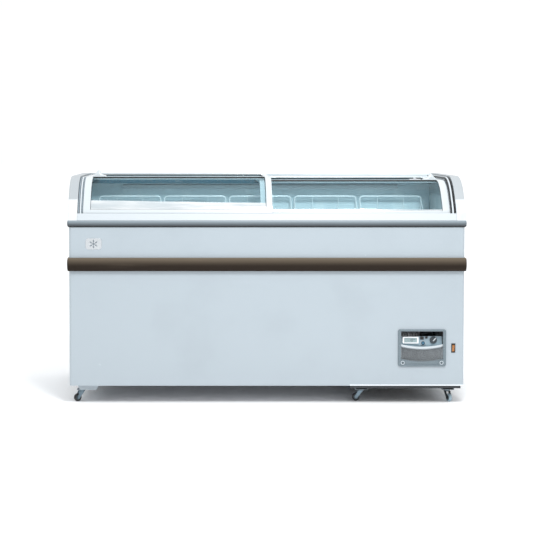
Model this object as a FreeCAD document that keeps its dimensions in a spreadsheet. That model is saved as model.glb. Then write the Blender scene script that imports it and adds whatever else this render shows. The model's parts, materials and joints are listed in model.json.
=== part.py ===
"""Display chest freezer with two curved sliding glass lids.

Millimetres, +Z up, +X to the right as seen from the front, front face towards -Y.
The origin is on the floor, under the middle of the object.
"""
import FreeCAD, Part
import math
import os
import re

import Sketcher

V = FreeCAD.Vector
Z_AXIS = V(0, 0, 1)
Y_AXIS = V(0, 1, 0)
X_AXIS = V(1, 0, 0)

doc = FreeCAD.newDocument("chest_freezer")
sheet = doc.addObject("Spreadsheet::Sheet", "Sizes")

# ---------------------------------------------------------------- driving dimensions
SIZES = [
    # cabinet
    ("body_length", 1550), ("body_depth", 700), ("body_bottom", 72), ("body_height", 626),
    ("skin", 1), ("wall", 62), ("corner_radius", 12),
    ("trim_height", 24), ("overhang", 4), ("trim_wall", 3),
    ("coil_space", 9), ("coil_tube", 8), ("coil_pitch", 45), ("coil_start", 430),
    ("bay_length", 448), ("bay_height", 258),
    ("rear_rise", 126), ("bead", 12), ("bead_top", 712),
    # bumper strip and badge
    ("bumper_bottom", 524), ("bumper_height", 52), ("bumper_out", 12), ("bumper_return", 60),
    ("bumper_round", 7), ("badge_inset", 97), ("badge_z", 630), ("badge_width", 62),
    ("badge_height", 44), ("badge_thick", 1.2),
    # roof curve, shared by end caps, lids, channels and rails
    ("rail_height", 28), ("cap_rise", 170), ("front_angle", 72), ("slope_angle", 52),
    ("low_radius", 150), ("high_radius", 160), ("cap_width", 37), ("cap_wall", 3),
    ("cap_rear_radius", 20), ("rail_depth", 34), ("rail_groove", 9),
    # side channels
    ("channel_width", 20), ("channel_base", 6), ("rib_width", 6), ("rib_inset", 9),
    ("rib_below_cap", 4),
    # rear rail
    ("step_front", 560), ("step_clear", 0.5), ("rear_wall", 3), ("rear_chamfer", 14),
    # lids
    ("lid_side_clear", 2), ("lid_overlap", 46), ("lid_thick", 12), ("lid_gap", 1),
    ("lid_below_cap", 3), ("lid_rear_inner", 590), ("lid_rear_step", 30), ("side_bar", 28),
    ("centre_bar", 24), ("low_bar", 15), ("top_bar", 26), ("top_bar_lead", 4),
    ("rear_bar", 24), ("glass_thick", 4), ("glass_bite", 6), ("tongue", 8),
    ("tongue_clear", 0.5), ("lid_lift", 1),
    ("handle_width", 58), ("handle_depth", 34), ("handle_height", 27), ("handle_base", 4),
    ("lock_width", 48), ("lock_depth", 22), ("lock_thick", 3), ("lock_barrel", 14),
    ("lock_gap", 8),
    # baskets
    ("basket_count", 5), ("basket_gap", 12), ("basket_front_room", 20), ("basket_back_room", 26),
    ("basket_bottom", 560), ("basket_rim", 722), ("basket_raised", 795), ("basket_wall", 3),
    ("basket_slope", 70), ("basket_lip", 18), ("basket_side_room", 9),
    # control panel
    ("panel_inset", 166), ("panel_z", 222), ("bezel_width", 188), ("bezel_height", 146),
    ("bezel_out", 6), ("bezel_radius", 10), ("opening_width", 165), ("opening_height", 130),
    ("tub_depth", 45), ("tub_wall", 2), ("fit_gap", 0.5), ("fascia_back", 22),
    ("fascia_thick", 3), ("fascia_top", 264), ("band_top", 235), ("band_height", 8),
    ("band_sag", 10), ("grille_bottom", 178), ("grille_back", 6), ("grille_thick", 2),
    ("display_width", 63), ("display_height", 27), ("display_out", 7), ("display_share", 0.2),
    ("lamps_width", 29), ("lamp_share", 0.35), ("knob_share", 0.54), ("button_along", 11.2),
    ("lamp_out", 3), ("knob_radius", 14), ("knob_out", 12), ("knob_shaft", 6),
    ("knob_clear", 0.3), ("button_radius", 7.3), ("button_out", 7), ("button_travel", 2),
    ("thermostat_deep", 30),
    # rocker switch
    ("switch_inset", 43), ("switch_z", 221), ("switch_width", 16), ("switch_height", 36),
    ("switch_out", 2), ("switch_deep", 20), ("rocker_width", 9.4), ("rocker_height", 25),
    ("rocker_tilt", 10), ("rocker_clear", 0.4), ("rocker_pivot", 2), ("rocker_pin", 1.2),
    ("rocker_pin_clear", 0.05), ("rocker_pin_reach", 0.8),
    # base, tray and casters
    ("tray_length", 436), ("tray_depth", 12), ("tray_thick", 1.5), ("tray_bottom", 61),
    ("mount_height", 48), ("caster_inset", 70), ("caster_left_inset", 44),
    ("caster_middle_inset", 397), ("caster_right_inset", 55), ("left_rail_inset", 71),
    ("left_rail_width", 93), ("left_rail_flange", 11), ("tray_rail_width", 60),
    ("rail_thick", 1.5), ("rail_end_room", 40), ("plate_side", 38), ("plate_thick", 2),
    ("race_radius", 12), ("race_height", 4), ("swivel_gap", 0.4), ("wheel_radius", 15.5),
    ("wheel_width", 13), ("fork_gap", 1.5), ("fork_thick", 1.8), ("fork_crown", 3),
    ("trail", 20), ("axle_radius", 2.5), ("axle_clear", 0.05), ("fork_boss", 6.5),
    # machinery in the bay
    ("compressor_inset", 155), ("compressor_rear_room", 200), ("compressor_radius", 72),
    ("compressor_height", 165), ("condenser_inset", 285), ("condenser_front_room", 110),
    ("condenser_width", 250), ("condenser_height", 220), ("condenser_depth", 50),
    ("fan_gap", 14), ("fan_radius", 92), ("fan_depth", 22), ("motor_radius", 34),
    ("motor_depth", 48), ("pipe_radius", 4),
    # rear openings
    ("vent_inset", 215), ("vent_z", 190), ("vent_width", 280), ("vent_height", 190),
    ("vent_slots", 11), ("gland_inset", 403), ("gland_z", 110), ("gland_radius", 12),
    ("gland_hole", 4), ("lamp_length", 1200), ("lamp_side", 20),
]
for row, (alias, number) in enumerate(SIZES, start=1):
    sheet.set(f"A{row}", alias)
    sheet.set(f"B{row}", str(number))
    sheet.setAlias(f"B{row}", alias)
doc.recompute()
NAMES = {alias for alias, number in SIZES}


def formula(text):
    """Turn the plain size names of a formula into references to the sheet."""
    return re.sub(r"[a-z_]+", lambda w: "Sizes." + w[0] if w[0] in NAMES else w[0], text)


def size(text):
    """The present number of a formula of sizes."""
    return float(sheet.evalExpression(formula(text)))


# ---------------------------------------------------------------- shared levels (formulas)
HALF_LENGTH = "(body_length / 2)"
HALF_DEPTH = "(body_depth / 2)"
BODY_TOP = "(body_bottom + body_height)"
SEAT = f"({BODY_TOP} + trim_height)"
ROOF = f"({SEAT} + cap_rise)"
WALL_TOP = f"({SEAT} + rear_rise)"
CAP_OUT = f"({HALF_LENGTH} + overhang)"
CAP_IN = f"({CAP_OUT} - cap_width)"
FRONT = f"(-{HALF_DEPTH} - overhang)"
TANK_X = f"({HALF_LENGTH} - wall)"
TANK_Y = f"({HALF_DEPTH} - wall)"
BAY_LEFT = f"({HALF_LENGTH} - bay_length)"
BAY_TOP = f"(body_bottom + bay_height)"
STEP_X = f"({BAY_LEFT} - wall)"
LID_REACH = f"({CAP_IN} - channel_width - lid_side_clear)"
# places measured from the left end
BADGE_X = f"(badge_inset - {HALF_LENGTH})"
LEFT_RAIL_X = f"(left_rail_inset - {HALF_LENGTH})"
CASTER_LEFT = f"(caster_left_inset - {HALF_LENGTH})"
# places measured from the right end
PANEL_X = f"({HALF_LENGTH} - panel_inset)"
SWITCH_X = f"({HALF_LENGTH} - switch_inset)"
VENT_X = f"({HALF_LENGTH} - vent_inset)"
GLAND_X = f"({HALF_LENGTH} - gland_inset)"
CASTER_MIDDLE = f"({HALF_LENGTH} - caster_middle_inset)"
CASTER_RIGHT = f"({HALF_LENGTH} - caster_right_inset)"
COMPRESSOR_X = f"({HALF_LENGTH} - compressor_inset)"
CONDENSER_X = f"({HALF_LENGTH} - condenser_inset)"
# places measured from the rear and the front
COMPRESSOR_Y = f"({HALF_DEPTH} - compressor_rear_room)"
CONDENSER_Y = f"(condenser_front_room - {HALF_DEPTH})"


# ---------------------------------------------------------------- builders
def finish(obj, label):
    """Name a finished sub-part."""
    obj.Label = label
    return obj


def box(name, x, y, z, length, width, height):
    """A block whose low corner and sides follow formulas."""
    block = doc.addObject("Part::Box", name)
    rows = zip(("Placement.Base.x", "Placement.Base.y", "Placement.Base.z",
                "Length", "Width", "Height"), (x, y, z, length, width, height))
    for prop, text in rows:
        block.setExpression(prop, formula(text))
    return block


def span_box(name, x, y, z):
    """A block between two formulas on each axis."""
    sides = [f"({high}) - ({low})" for low, high in (x, y, z)]
    return box(name, x[0], y[0], z[0], *sides)


def cylinder(name, centre, radius, height, axis="Z"):
    """A cylinder from its centre of base, along +Z, +Y or -Y."""
    drum = doc.addObject("Part::Cylinder", name)
    drum.setExpression("Radius", formula(radius))
    drum.setExpression("Height", formula(height))
    turn = {"Z": 0, "-Y": 90, "+Y": -90}[axis]
    drum.Placement.Rotation = FreeCAD.Rotation(X_AXIS, turn)
    for letter, text in zip("xyz", centre):
        drum.setExpression(f"Placement.Base.{letter}", formula(text))
    return drum


def cut(label, base, *tools):
    """The base less each tool."""
    for number, tool in enumerate(tools):
        step = doc.addObject("Part::Cut", f"{label}_cut{number}")
        step.Base, step.Tool = base, tool
        base = step
    return finish(base, label)


def fuse(label, *pieces):
    """One solid of several pieces."""
    whole = doc.addObject("Part::MultiFuse", f"{label}_fuse")
    whole.Shapes = list(pieces)
    return finish(whole, label)


def fixed(label, shape):
    """A sub-part whose shape is worked out by Part functions."""
    piece = doc.addObject("Part::Feature", label)
    piece.Shape = shape
    return finish(piece, label)


def draw(body, name, plane, outline, offset="0"):
    """A closed sketch of straight lines; each corner is tied to its two formulas."""
    sketch = body.newObject("Sketcher::SketchObject", name)
    role = [o for o in body.Origin.OriginFeatures if o.Role == plane][0]
    sketch.AttachmentSupport = [(role, "")]
    sketch.MapMode = "FlatFace"
    sketch.setExpression("AttachmentOffset.Base.z", formula(offset))
    corners = [V(size(u), size(v), 0) for u, v in outline]
    count = len(corners)
    for i in range(count):
        sketch.addGeometry(Part.LineSegment(corners[i], corners[(i + 1) % count]))
    for i in range(count):
        sketch.addConstraint(Sketcher.Constraint("Coincident", i, 2, (i + 1) % count, 1))
    for i, (u, v) in enumerate(outline):
        across = sketch.addConstraint(Sketcher.Constraint("DistanceX", -1, 1, i, 1, corners[i].x))
        sketch.setExpression(f"Constraints[{across}]", formula(u))
        up = sketch.addConstraint(Sketcher.Constraint("DistanceY", -1, 1, i, 1, corners[i].y))
        sketch.setExpression(f"Constraints[{up}]", formula(v))
    return sketch


def rectangle(u, v):
    """Corners of a rectangle between two formulas each way."""
    return [(u[0], v[0]), (u[1], v[0]), (u[1], v[1]), (u[0], v[1])]


def padded(label, plane, outline, length, offset="0"):
    """A PartDesign body: one sketch, padded along its plane's normal."""
    body = doc.addObject("PartDesign::Body", label)
    sketch = draw(body, f"{label}_outline", plane, outline, offset)
    pad = body.newObject("PartDesign::Pad", f"{label}_pad")
    pad.Profile = sketch
    pad.setExpression("Length", formula(length))
    doc.recompute()
    return finish(body, label)


def pocket(body, name, plane, outline, length, offset="0", both=False):
    """Cut a sketch out of a body; the cut runs against the plane's normal."""
    sketch = draw(body, f"{name}_outline", plane, outline, offset)
    before = body.Shape.Volume
    hole = body.newObject("PartDesign::Pocket", name)
    hole.Profile = sketch
    hole.Midplane = both
    hole.setExpression("Length", formula(length))
    body.Tip = hole
    doc.recompute()
    if not body.Shape.Volume < before:
        raise ValueError(f"{name} cut nothing")
    return hole


def fillet(body, name, radius, picks):
    """Round the edges of a body that picks(edge) chooses."""
    base = body.Tip
    edges = [f"Edge{i}" for i, edge in enumerate(base.Shape.Edges, 1) if picks(edge)]
    rounding = body.newObject("PartDesign::Fillet", name)
    rounding.Base = (base, edges)
    rounding.setExpression("Radius", formula(radius))
    body.Tip = rounding
    doc.recompute()
    return rounding


def upright_at(x, y):
    """Choose vertical edges at one place in plan."""
    def picks(edge):
        low = edge.BoundBox
        flat = low.XLength < 0.01 and low.YLength < 0.01
        return flat and abs(low.XMin - x) < 0.01 and abs(low.YMin - y) < 0.01
    return picks


# ---------------------------------------------------------------- roof curve
def roof_pieces():
    """The roof curve from the seat to the rear: (kind, start point, start angle, length, radius).

    It climbs at the front angle, bends to the slope angle, runs straight, bends level
    and then runs flat to the back.
    """
    steep = math.radians(size("front_angle"))
    slope = math.radians(size("slope_angle"))
    low, high = size("low_radius"), size("high_radius")
    lead = size("rail_height") / math.sin(steep)
    low_rise = low * (math.cos(slope) - math.cos(steep))
    high_rise = high * (1 - math.cos(slope))
    run_rise = size("cap_rise") - size("rail_height") - low_rise - high_rise
    rows = [(lead, 0, steep), (low * (steep - slope), low, steep),
            (run_rise / math.sin(slope), 0, slope), (high * slope, high, slope),
            (size("body_depth"), 0, 0)]
    pieces, at = [], V(0, size(FRONT), size(SEAT))
    for length, radius, angle in rows:
        pieces.append((at, angle, length, radius))
        at = roof_step(at, angle, length, radius)
    return pieces


def roof_step(at, angle, length, radius):
    """Move along one piece of the roof curve."""
    if not radius:
        return at + V(0, math.cos(angle), math.sin(angle)) * length
    turned = angle - length / radius
    across = radius * (math.sin(angle) - math.sin(turned))
    return at + V(0, across, radius * (math.cos(turned) - math.cos(angle)))


ROOF_PIECES = roof_pieces()
RAIL_TOP = ROOF_PIECES[0][2]
FLAT_START = sum(piece[2] for piece in ROOF_PIECES[:4])


def roof_point(along, depth):
    """A point at a length along the roof curve and a depth below it."""
    for at, angle, length, radius in ROOF_PIECES:
        if along <= length or length == ROOF_PIECES[-1][2]:
            turned = angle - along / radius if radius else angle
            inward = V(0, math.sin(turned), -math.cos(turned))
            return roof_step(at, angle, along, radius) + inward * depth
        along -= length


def along_at(distance):
    """Length along the roof curve whose flat part is this far behind the front."""
    return FLAT_START + size(FRONT) + distance - ROOF_PIECES[-1][0].y


def roof_edges(depth, start, end):
    """The roof curve offset inwards, between two lengths along it."""
    edges, passed = [], 0
    for at, angle, length, radius in ROOF_PIECES:
        low, high = max(start, passed), min(end, passed + length)
        if high - low > 1e-6 or (passed == 0 and start < 0):
            low = start if passed == 0 and start < 0 else low
            first, last = roof_point(low, depth), roof_point(high, depth)
            if radius:
                middle = roof_point((low + high) / 2, depth)
                edges.append(Part.Arc(first, middle, last).toShape())
            else:
                edges.append(Part.LineSegment(first, last).toShape())
        passed += length
    return edges


def line(a, b):
    """A straight edge."""
    return Part.LineSegment(a, b).toShape()


def extruded(edges, x_low, x_high):
    """A solid from closed edges in a plane of constant X."""
    wire = Part.Wire(Part.__sortEdges__(edges))
    wire.translate(V(x_low, 0, 0))
    return Part.Face(wire).extrude(V(x_high - x_low, 0, 0))


def strip(top, bottom, start, end, x_low, x_high):
    """A curved bar that follows the roof between two depths and two lengths along it."""
    upper = roof_edges(top, start, end)
    lower = roof_edges(bottom, start, end)
    ends = [line(roof_point(start, top), roof_point(start, bottom)),
            line(roof_point(end, top), roof_point(end, bottom))]
    return extruded(upper + lower + ends, x_low, x_high)


def polygon(points, x_low, x_high):
    """A prism along X from corners (y, z)."""
    corners = [V(0, y, z) for y, z in points]
    edges = [line(a, b) for a, b in zip(corners, corners[1:] + corners[:1])]
    return extruded(edges, x_low, x_high)


def block(x, y, z):
    """A plain block between two numbers on each axis."""
    return Part.makeBox(x[1] - x[0], y[1] - y[0], z[1] - z[0], V(x[0], y[0], z[0]))


# ---------------------------------------------------------------- cabinet
def outer_shell():
    """Painted sheet wrapped round the front and both sides, open for panel and switch."""
    x, y = HALF_LENGTH, HALF_DEPTH
    outline = [(f"-{x}", y), (f"-{x}", f"-{y}"), (x, f"-{y}"), (x, y), (f"{x} - skin", y),
               (f"{x} - skin", f"skin - {y}"), (f"skin - {x}", f"skin - {y}"),
               (f"skin - {x}", y)]
    body = padded("outer_shell", "XY_Plane", outline, "body_height", "body_bottom")
    for side, name in ((-1, "left"), (1, "right")):
        corner = side * size(x), -size(y)
        fillet(body, f"shell_{name}_round", "corner_radius", upright_at(*corner))
        inner = side * (size(x) - size("skin")), size("skin") - size(y)
        fillet(body, f"shell_{name}_inside", "corner_radius - skin", upright_at(*inner))
    half_w = "(opening_width / 2 + tub_wall + fit_gap)"
    half_h = "(opening_height / 2 + tub_wall + fit_gap)"
    window = rectangle((f"{PANEL_X} - {half_w}", f"{PANEL_X} + {half_w}"),
                       (f"panel_z - {half_h}", f"panel_z + {half_h}"))
    pocket(body, "panel_window", "XZ_Plane", window, f"4 * corner_radius", y, True)
    half_w = "(switch_width / 2 - switch_out + fit_gap / 2)"
    half_h = "(switch_height / 2 - switch_out + fit_gap / 2)"
    window = rectangle((f"{SWITCH_X} - {half_w}", f"{SWITCH_X} + {half_w}"),
                       (f"switch_z - {half_h}", f"switch_z + {half_h}"))
    pocket(body, "switch_window", "XZ_Plane", window, f"4 * corner_radius", y, True)


def back_panel():
    """Flat sheet that closes the back, with the vent opening and the gland hole."""
    wide, narrow = f"({HALF_LENGTH} - skin)", CAP_IN
    outline = [(f"-{wide}", "body_bottom"), (wide, "body_bottom"), (wide, SEAT),
               (narrow, SEAT), (narrow, WALL_TOP), (f"-{narrow}", WALL_TOP),
               (f"-{narrow}", SEAT), (f"-{wide}", SEAT)]
    body = padded("back_panel", "XZ_Plane", outline, "skin", f"-{HALF_DEPTH}")
    half_w, half_h = "(vent_width / 2 - bead)", "(vent_height / 2 - bead)"
    window = rectangle((f"{VENT_X} - {half_w}", f"{VENT_X} + {half_w}"),
                       (f"vent_z - {half_h}", f"vent_z + {half_h}"))
    pocket(body, "vent_window", "XZ_Plane", window, "4 * skin", f"-{HALF_DEPTH}", True)
    sketch = body.newObject("Sketcher::SketchObject", "gland_centre")
    role = [o for o in body.Origin.OriginFeatures if o.Role == "XZ_Plane"][0]
    sketch.AttachmentSupport = [(role, "")]
    sketch.MapMode = "FlatFace"
    sketch.setExpression("AttachmentOffset.Base.z", formula(f"-{HALF_DEPTH}"))
    centre = V(size(GLAND_X), size("gland_z"), 0)
    sketch.addGeometry(Part.Circle(centre, Z_AXIS, size("gland_radius - 3")))
    for kind, text in (("DistanceX", GLAND_X), ("DistanceY", "gland_z")):
        which = sketch.addConstraint(Sketcher.Constraint(kind, -1, 1, 0, 3, size(text)))
        sketch.setExpression(f"Constraints[{which}]", formula(text))
    which = sketch.addConstraint(Sketcher.Constraint("Radius", 0, size("gland_radius - 3")))
    sketch.setExpression(f"Constraints[{which}]", formula("gland_radius - 3"))
    hole = body.newObject("PartDesign::Pocket", "gland_opening")
    hole.Profile = sketch
    hole.Midplane = True
    hole.setExpression("Length", formula("4 * skin"))
    body.Tip = hole
    doc.recompute()


def corner_waste(name, mirrored):
    """What a square front corner has outside the rounded inside of the shell."""
    radius = "(corner_radius - skin)"
    centre_x = f"({HALF_LENGTH} - skin - {radius})"
    centre_y = f"({radius} + skin - {HALF_DEPTH})"
    span = (f"-{HALF_LENGTH}", f"-{centre_x}") if mirrored else (centre_x, HALF_LENGTH)
    square = span_box(f"{name}_square", span, (f"-{HALF_DEPTH}", centre_y),
                      ("body_bottom - skin", f"{BODY_TOP} + skin"))
    centre = (f"-{centre_x}" if mirrored else centre_x, centre_y, "body_bottom - 2 * skin")
    round_part = cylinder(f"{name}_round", centre, radius, "body_height + 4 * skin")
    waste = doc.addObject("Part::Cut", name)
    waste.Base, waste.Tool = square, round_part
    return waste


def floor_and_bay(waste_left, waste_right):
    """Sheet under the tank, and the lining of the compressor bay."""
    side, deep = f"{HALF_LENGTH} - skin", f"{HALF_DEPTH} - skin"
    cut("base_panel", span_box("base_sheet", (f"-({side})", BAY_LEFT), (f"-({deep})", deep),
                               ("body_bottom", "body_bottom + skin")), waste_left)
    outline = [(BAY_LEFT, "body_bottom"), (f"{BAY_LEFT} + skin", "body_bottom"),
               (f"{BAY_LEFT} + skin", f"{BAY_TOP} - skin"), (side, f"{BAY_TOP} - skin"),
               (side, BAY_TOP), (BAY_LEFT, BAY_TOP)]
    lining = padded("bay_lining", "XZ_Plane", outline, f"2 * ({deep})", f"-({deep})")
    cut("compressor_bay_liner", lining, waste_right)


def insulation_foam(waste_left, waste_right):
    """Rigid foam between the shell and the tank, stepped over the bay."""
    side, deep = f"({HALF_LENGTH} - skin)", f"({HALF_DEPTH} - skin)"
    low = f"(body_bottom + skin)"
    gap = "(skin + coil_space)"
    block_low = span_box("foam_low", (f"-{side}", side), (f"-{deep}", deep), (low, BODY_TOP))
    block_rear = span_box("foam_rear", (f"-{CAP_IN}", CAP_IN), (f"{TANK_Y} + {gap}", deep),
                          (f"{BODY_TOP} - skin", WALL_TOP))
    whole = doc.addObject("Part::Fuse", "foam_blocks")
    whole.Base, whole.Tool = block_low, block_rear
    bay = span_box("foam_bay", (BAY_LEFT, f"{side} + skin"), (f"-{deep} - skin", f"{deep} + skin"),
                   (f"{low} - skin", BAY_TOP))
    y = (f"-({TANK_Y} + {gap})", f"{TANK_Y} + {gap}")
    deep_end = span_box("foam_deep", (f"-({TANK_X} + {gap})", f"{STEP_X} + {gap}"), y,
                        (f"body_bottom + wall - {gap}", f"{WALL_TOP} + skin"))
    step_end = span_box("foam_step", (STEP_X, f"{TANK_X} + {gap}"), y,
                        (f"{BAY_TOP} + wall - {gap}", f"{WALL_TOP} + skin"))
    cut("insulation_foam", whole, bay, deep_end, step_end, waste_left, waste_right)


def inner_tank():
    """Liner: stepped floor, a support bead on front and rear walls, a raised rear wall."""
    def cavity(name, grow):
        deep_end = span_box(f"{name}_deep", (f"-({TANK_X} + {grow})", f"{STEP_X} + {grow}"),
                            (f"-({TANK_Y} + {grow})", f"{TANK_Y} + {grow}"),
                            (f"body_bottom + wall - {grow}", BODY_TOP))
        step_end = span_box(f"{name}_step", (f"{STEP_X} - bead", f"{TANK_X} + {grow}"),
                            (f"-({TANK_Y} + {grow})", f"{TANK_Y} + {grow}"),
                            (f"{BAY_TOP} + wall - {grow}", BODY_TOP))
        whole = doc.addObject("Part::Fuse", f"{name}_whole")
        whole.Base, whole.Tool = deep_end, step_end
        return whole

    outside, inside = cavity("tank_out", "skin"), cavity("tank_in", "0")
    walls = doc.addObject("Part::Cut", "tank_walls")
    walls.Base, walls.Tool = outside, inside
    rear = span_box("tank_rear", (f"-{CAP_IN}", CAP_IN), (TANK_Y, f"{TANK_Y} + skin"),
                    (BODY_TOP, WALL_TOP))
    beads = [span_box(f"tank_bead_{name}", (f"-{TANK_X}", TANK_X), span,
                      ("bead_top - 2 * bead", "bead_top - bead"))
             for name, span in (("rear", (f"{TANK_Y} - bead", TANK_Y)),
                                ("front", (f"-{TANK_Y}", f"bead - {TANK_Y}")))]
    fuse("inner_tank", walls, rear, *beads)


def rim_trim():
    """Grey band round the front and sides of the mouth: a channel that is open below."""
    def frame(name, outer, inner, low, high):
        whole = span_box(f"{name}_block", (f"-({outer[0]})", outer[0]),
                         (f"-({outer[1]})", f"{HALF_DEPTH} - skin"), (low, high))
        mouth = span_box(f"{name}_mouth", (f"-({inner[0]})", inner[0]),
                         (f"-({inner[1]})", f"{HALF_DEPTH} + skin"),
                         (f"{low} - skin", f"{high} + skin"))
        ring = doc.addObject("Part::Cut", f"{name}_ring")
        ring.Base, ring.Tool = whole, mouth
        return ring

    band = frame("trim", (CAP_OUT, f"{HALF_DEPTH} + overhang"), (TANK_X, TANK_Y), BODY_TOP, SEAT)
    hollow = frame("trim_hollow", (f"{CAP_OUT} - trim_wall", f"{HALF_DEPTH} + overhang - trim_wall"),
                   (f"{TANK_X} + trim_wall", f"{TANK_Y} + trim_wall"),
                   f"({BODY_TOP} - skin)", f"({SEAT} - trim_wall)")
    rear = span_box("trim_rear_gap", (f"-{CAP_IN}", CAP_IN), (TANK_Y, HALF_DEPTH),
                    (f"{BODY_TOP} - skin", f"{SEAT} + skin"))
    cut("rim_trim", band, hollow, rear)


def bumper_strip():
    """Protecting strip across the front with short returns on the sides."""
    x, y = CAP_OUT, f"({HALF_DEPTH} + bumper_out)"
    inner_x, inner_y = HALF_LENGTH, HALF_DEPTH
    back = f"(bumper_return - {HALF_DEPTH})"
    outline = [(f"-{x}", back), (f"-{x}", f"-{y}"), (x, f"-{y}"), (x, back), (inner_x, back),
               (inner_x, f"-{inner_y}"), (f"-{inner_x}", f"-{inner_y}"), (f"-{inner_x}", back)]
    body = padded("bumper_strip", "XY_Plane", outline, "bumper_height", "bumper_bottom")
    nose = -size(y)

    def front_edges(edge):
        low = edge.BoundBox
        level = low.ZLength < 0.01 and low.YLength < 0.01
        return level and abs(low.YMin - nose) < 0.01

    fillet(body, "bumper_rounding", "bumper_round", front_edges)


def badge_plate():
    """Plain plate with rounded corners on the front."""
    half_w, half_h = "(badge_width / 2)", "(badge_height / 2)"
    outline = rectangle((f"{BADGE_X} - {half_w}", f"{BADGE_X} + {half_w}"),
                        (f"badge_z - {half_h}", f"badge_z + {half_h}"))
    body = padded("badge_plate", "XZ_Plane", outline, "badge_thick", HALF_DEPTH)

    def corners(edge):
        low = edge.BoundBox
        return low.XLength < 0.01 and low.ZLength < 0.01

    fillet(body, "badge_corners", "badge_height / 4", corners)


# ---------------------------------------------------------------- roof: caps, channels, rails
def cap_solid(depth, x_low, x_high):
    """Everything under the roof curve down to the seat, drawn in by a depth."""
    seat, rear = size(SEAT), size(HALF_DEPTH) - depth
    radius = size("cap_rear_radius") - depth
    start = depth / math.tan(math.radians(size("front_angle")))
    end = along_at(rear - radius - size(FRONT))
    top = roof_point(end, depth)
    corner = V(0, rear, top.z - radius)
    bend = V(0, rear - radius + radius * math.sin(math.pi / 4),
             top.z - radius + radius * math.cos(math.pi / 4))
    foot, toe = V(0, rear, seat), roof_point(start, depth)
    edges = roof_edges(depth, start, end) + [Part.Arc(top, bend, corner).toShape(),
                                             line(corner, foot), line(foot, toe)]
    return extruded(edges, x_low, x_high)


def end_caps():
    """Hollow curved mouldings over both ends, open below."""
    wall = size("cap_wall")
    for name, side in (("left_end_cap", -1), ("right_end_cap", 1)):
        low, high = sorted((side * size(CAP_IN), side * size(CAP_OUT)))
        solid = cap_solid(0, low, high).cut(cap_solid(wall, low + wall, high - wall))
        outer = side * size(CAP_OUT)
        rim = [edge for edge in solid.Edges
               if abs(edge.BoundBox.XMin - outer) < 0.01 and edge.BoundBox.XLength < 0.01
               and edge.BoundBox.ZMax > size(SEAT) + 1]
        fixed(name, solid.makeFillet(wall - 0.5, rim))


def side_channels():
    """Curved channels inside the caps: a thin base and one rib between two grooves."""
    under = size("lid_below_cap + 2 * lid_thick + lid_gap")
    start, end = RAIL_TOP, along_at(size("step_front"))
    solids = []
    for side in (-1, 1):
        outer = side * size(CAP_IN)
        inner = outer - side * size("channel_width")
        ledge = under + size("lid_gap")
        base = strip(ledge, ledge + size("channel_base"), start, end, *sorted((outer, inner)))
        rib_out = outer - side * size("rib_inset")
        rib_in = rib_out - side * size("rib_width")
        rib = strip(size("rib_below_cap"), ledge + 1, start, end, *sorted((rib_out, rib_in)))
        solids.append(base.fuse(rib).removeSplitter())
    fixed("side_channels", Part.makeCompound(solids))


def lid_depths(outer):
    """Top and bottom depth of a lid below the roof curve."""
    top = size("lid_below_cap")
    if not outer:
        top += size("lid_thick + lid_gap")
    return top, top + size("lid_thick")


def tongue_depths(outer):
    """Top and bottom depth of the lid's tongue and of its glass."""
    top, bottom = lid_depths(outer)
    margin = (bottom - top - size("glass_thick")) / 2
    return top + margin, bottom - margin


def front_rail():
    """White front rail with one groove for each lid."""
    deep = size("rail_depth")
    foot = roof_point(RAIL_TOP, deep)
    edges = roof_edges(0, 0, RAIL_TOP)
    back, seat = V(0, foot.y, size(SEAT)), roof_point(0, 0)
    edges += [line(roof_point(RAIL_TOP, 0), foot), line(foot, back), line(back, seat)]
    half = size(CAP_IN)
    solid = extruded(edges, -half, half)
    clear = size("tongue_clear")
    for outer in (True, False):
        top, bottom = tongue_depths(outer)
        groove = strip(top - clear, bottom + clear, RAIL_TOP - size("rail_groove"),
                       RAIL_TOP + 2, -half - 1, half + 1)
        solid = solid.cut(groove)
    fixed("front_rail", solid)


def rear_rail():
    """Stepped hollow rail: the low step carries the inner lid, the high step the outer."""
    front = size(FRONT)
    back, roof, low = size(HALF_DEPTH), size(ROOF), size(WALL_TOP)
    clear, chamfer = size("step_clear"), size("rear_chamfer")
    steps = [roof - lid_depths(outer)[1] - clear for outer in (False, True)]
    first = front + size("step_front")
    second = front + size("lid_rear_inner") + size("lid_gap")
    third = second + size("lid_rear_step")

    def outline(inset):
        levels = [step - inset for step in steps]
        return [(first + inset, low), (first + inset, levels[0]),
                (second + inset, levels[0]), (second + inset, levels[1]),
                (third + inset, levels[1]), (third + inset, roof - inset),
                (back - chamfer - inset / 2, roof - inset),
                (back - inset, roof - chamfer - inset / 2), (back - inset, low)]

    half = size(CAP_IN)
    wall = size("rear_wall")
    solid = polygon(outline(0), -half, half)
    fixed("rear_rail", solid.cut(polygon(outline(wall), -half, half)))


def lamp_cover():
    """Light strip under the rear rail, on the rear wall."""
    half = "(lamp_length / 2)"
    outline = [(f"-{half}", f"{WALL_TOP} - 1.2 * lamp_side"), (half, f"{WALL_TOP} - 1.2 * lamp_side"),
               (half, f"{WALL_TOP} - 0.2 * lamp_side"), (f"-{half}", f"{WALL_TOP} - 0.2 * lamp_side")]
    body = padded("lamp_cover", "XZ_Plane", outline, "lamp_side", f"-{TANK_Y}")
    face = size(f"{TANK_Y} - lamp_side")

    def front_edges(edge):
        low = edge.BoundBox
        return low.YLength < 0.01 and abs(low.YMin - face) < 0.01 and low.XLength > 10

    fillet(body, "lamp_rounding", "lamp_side / 3", front_edges)


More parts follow.
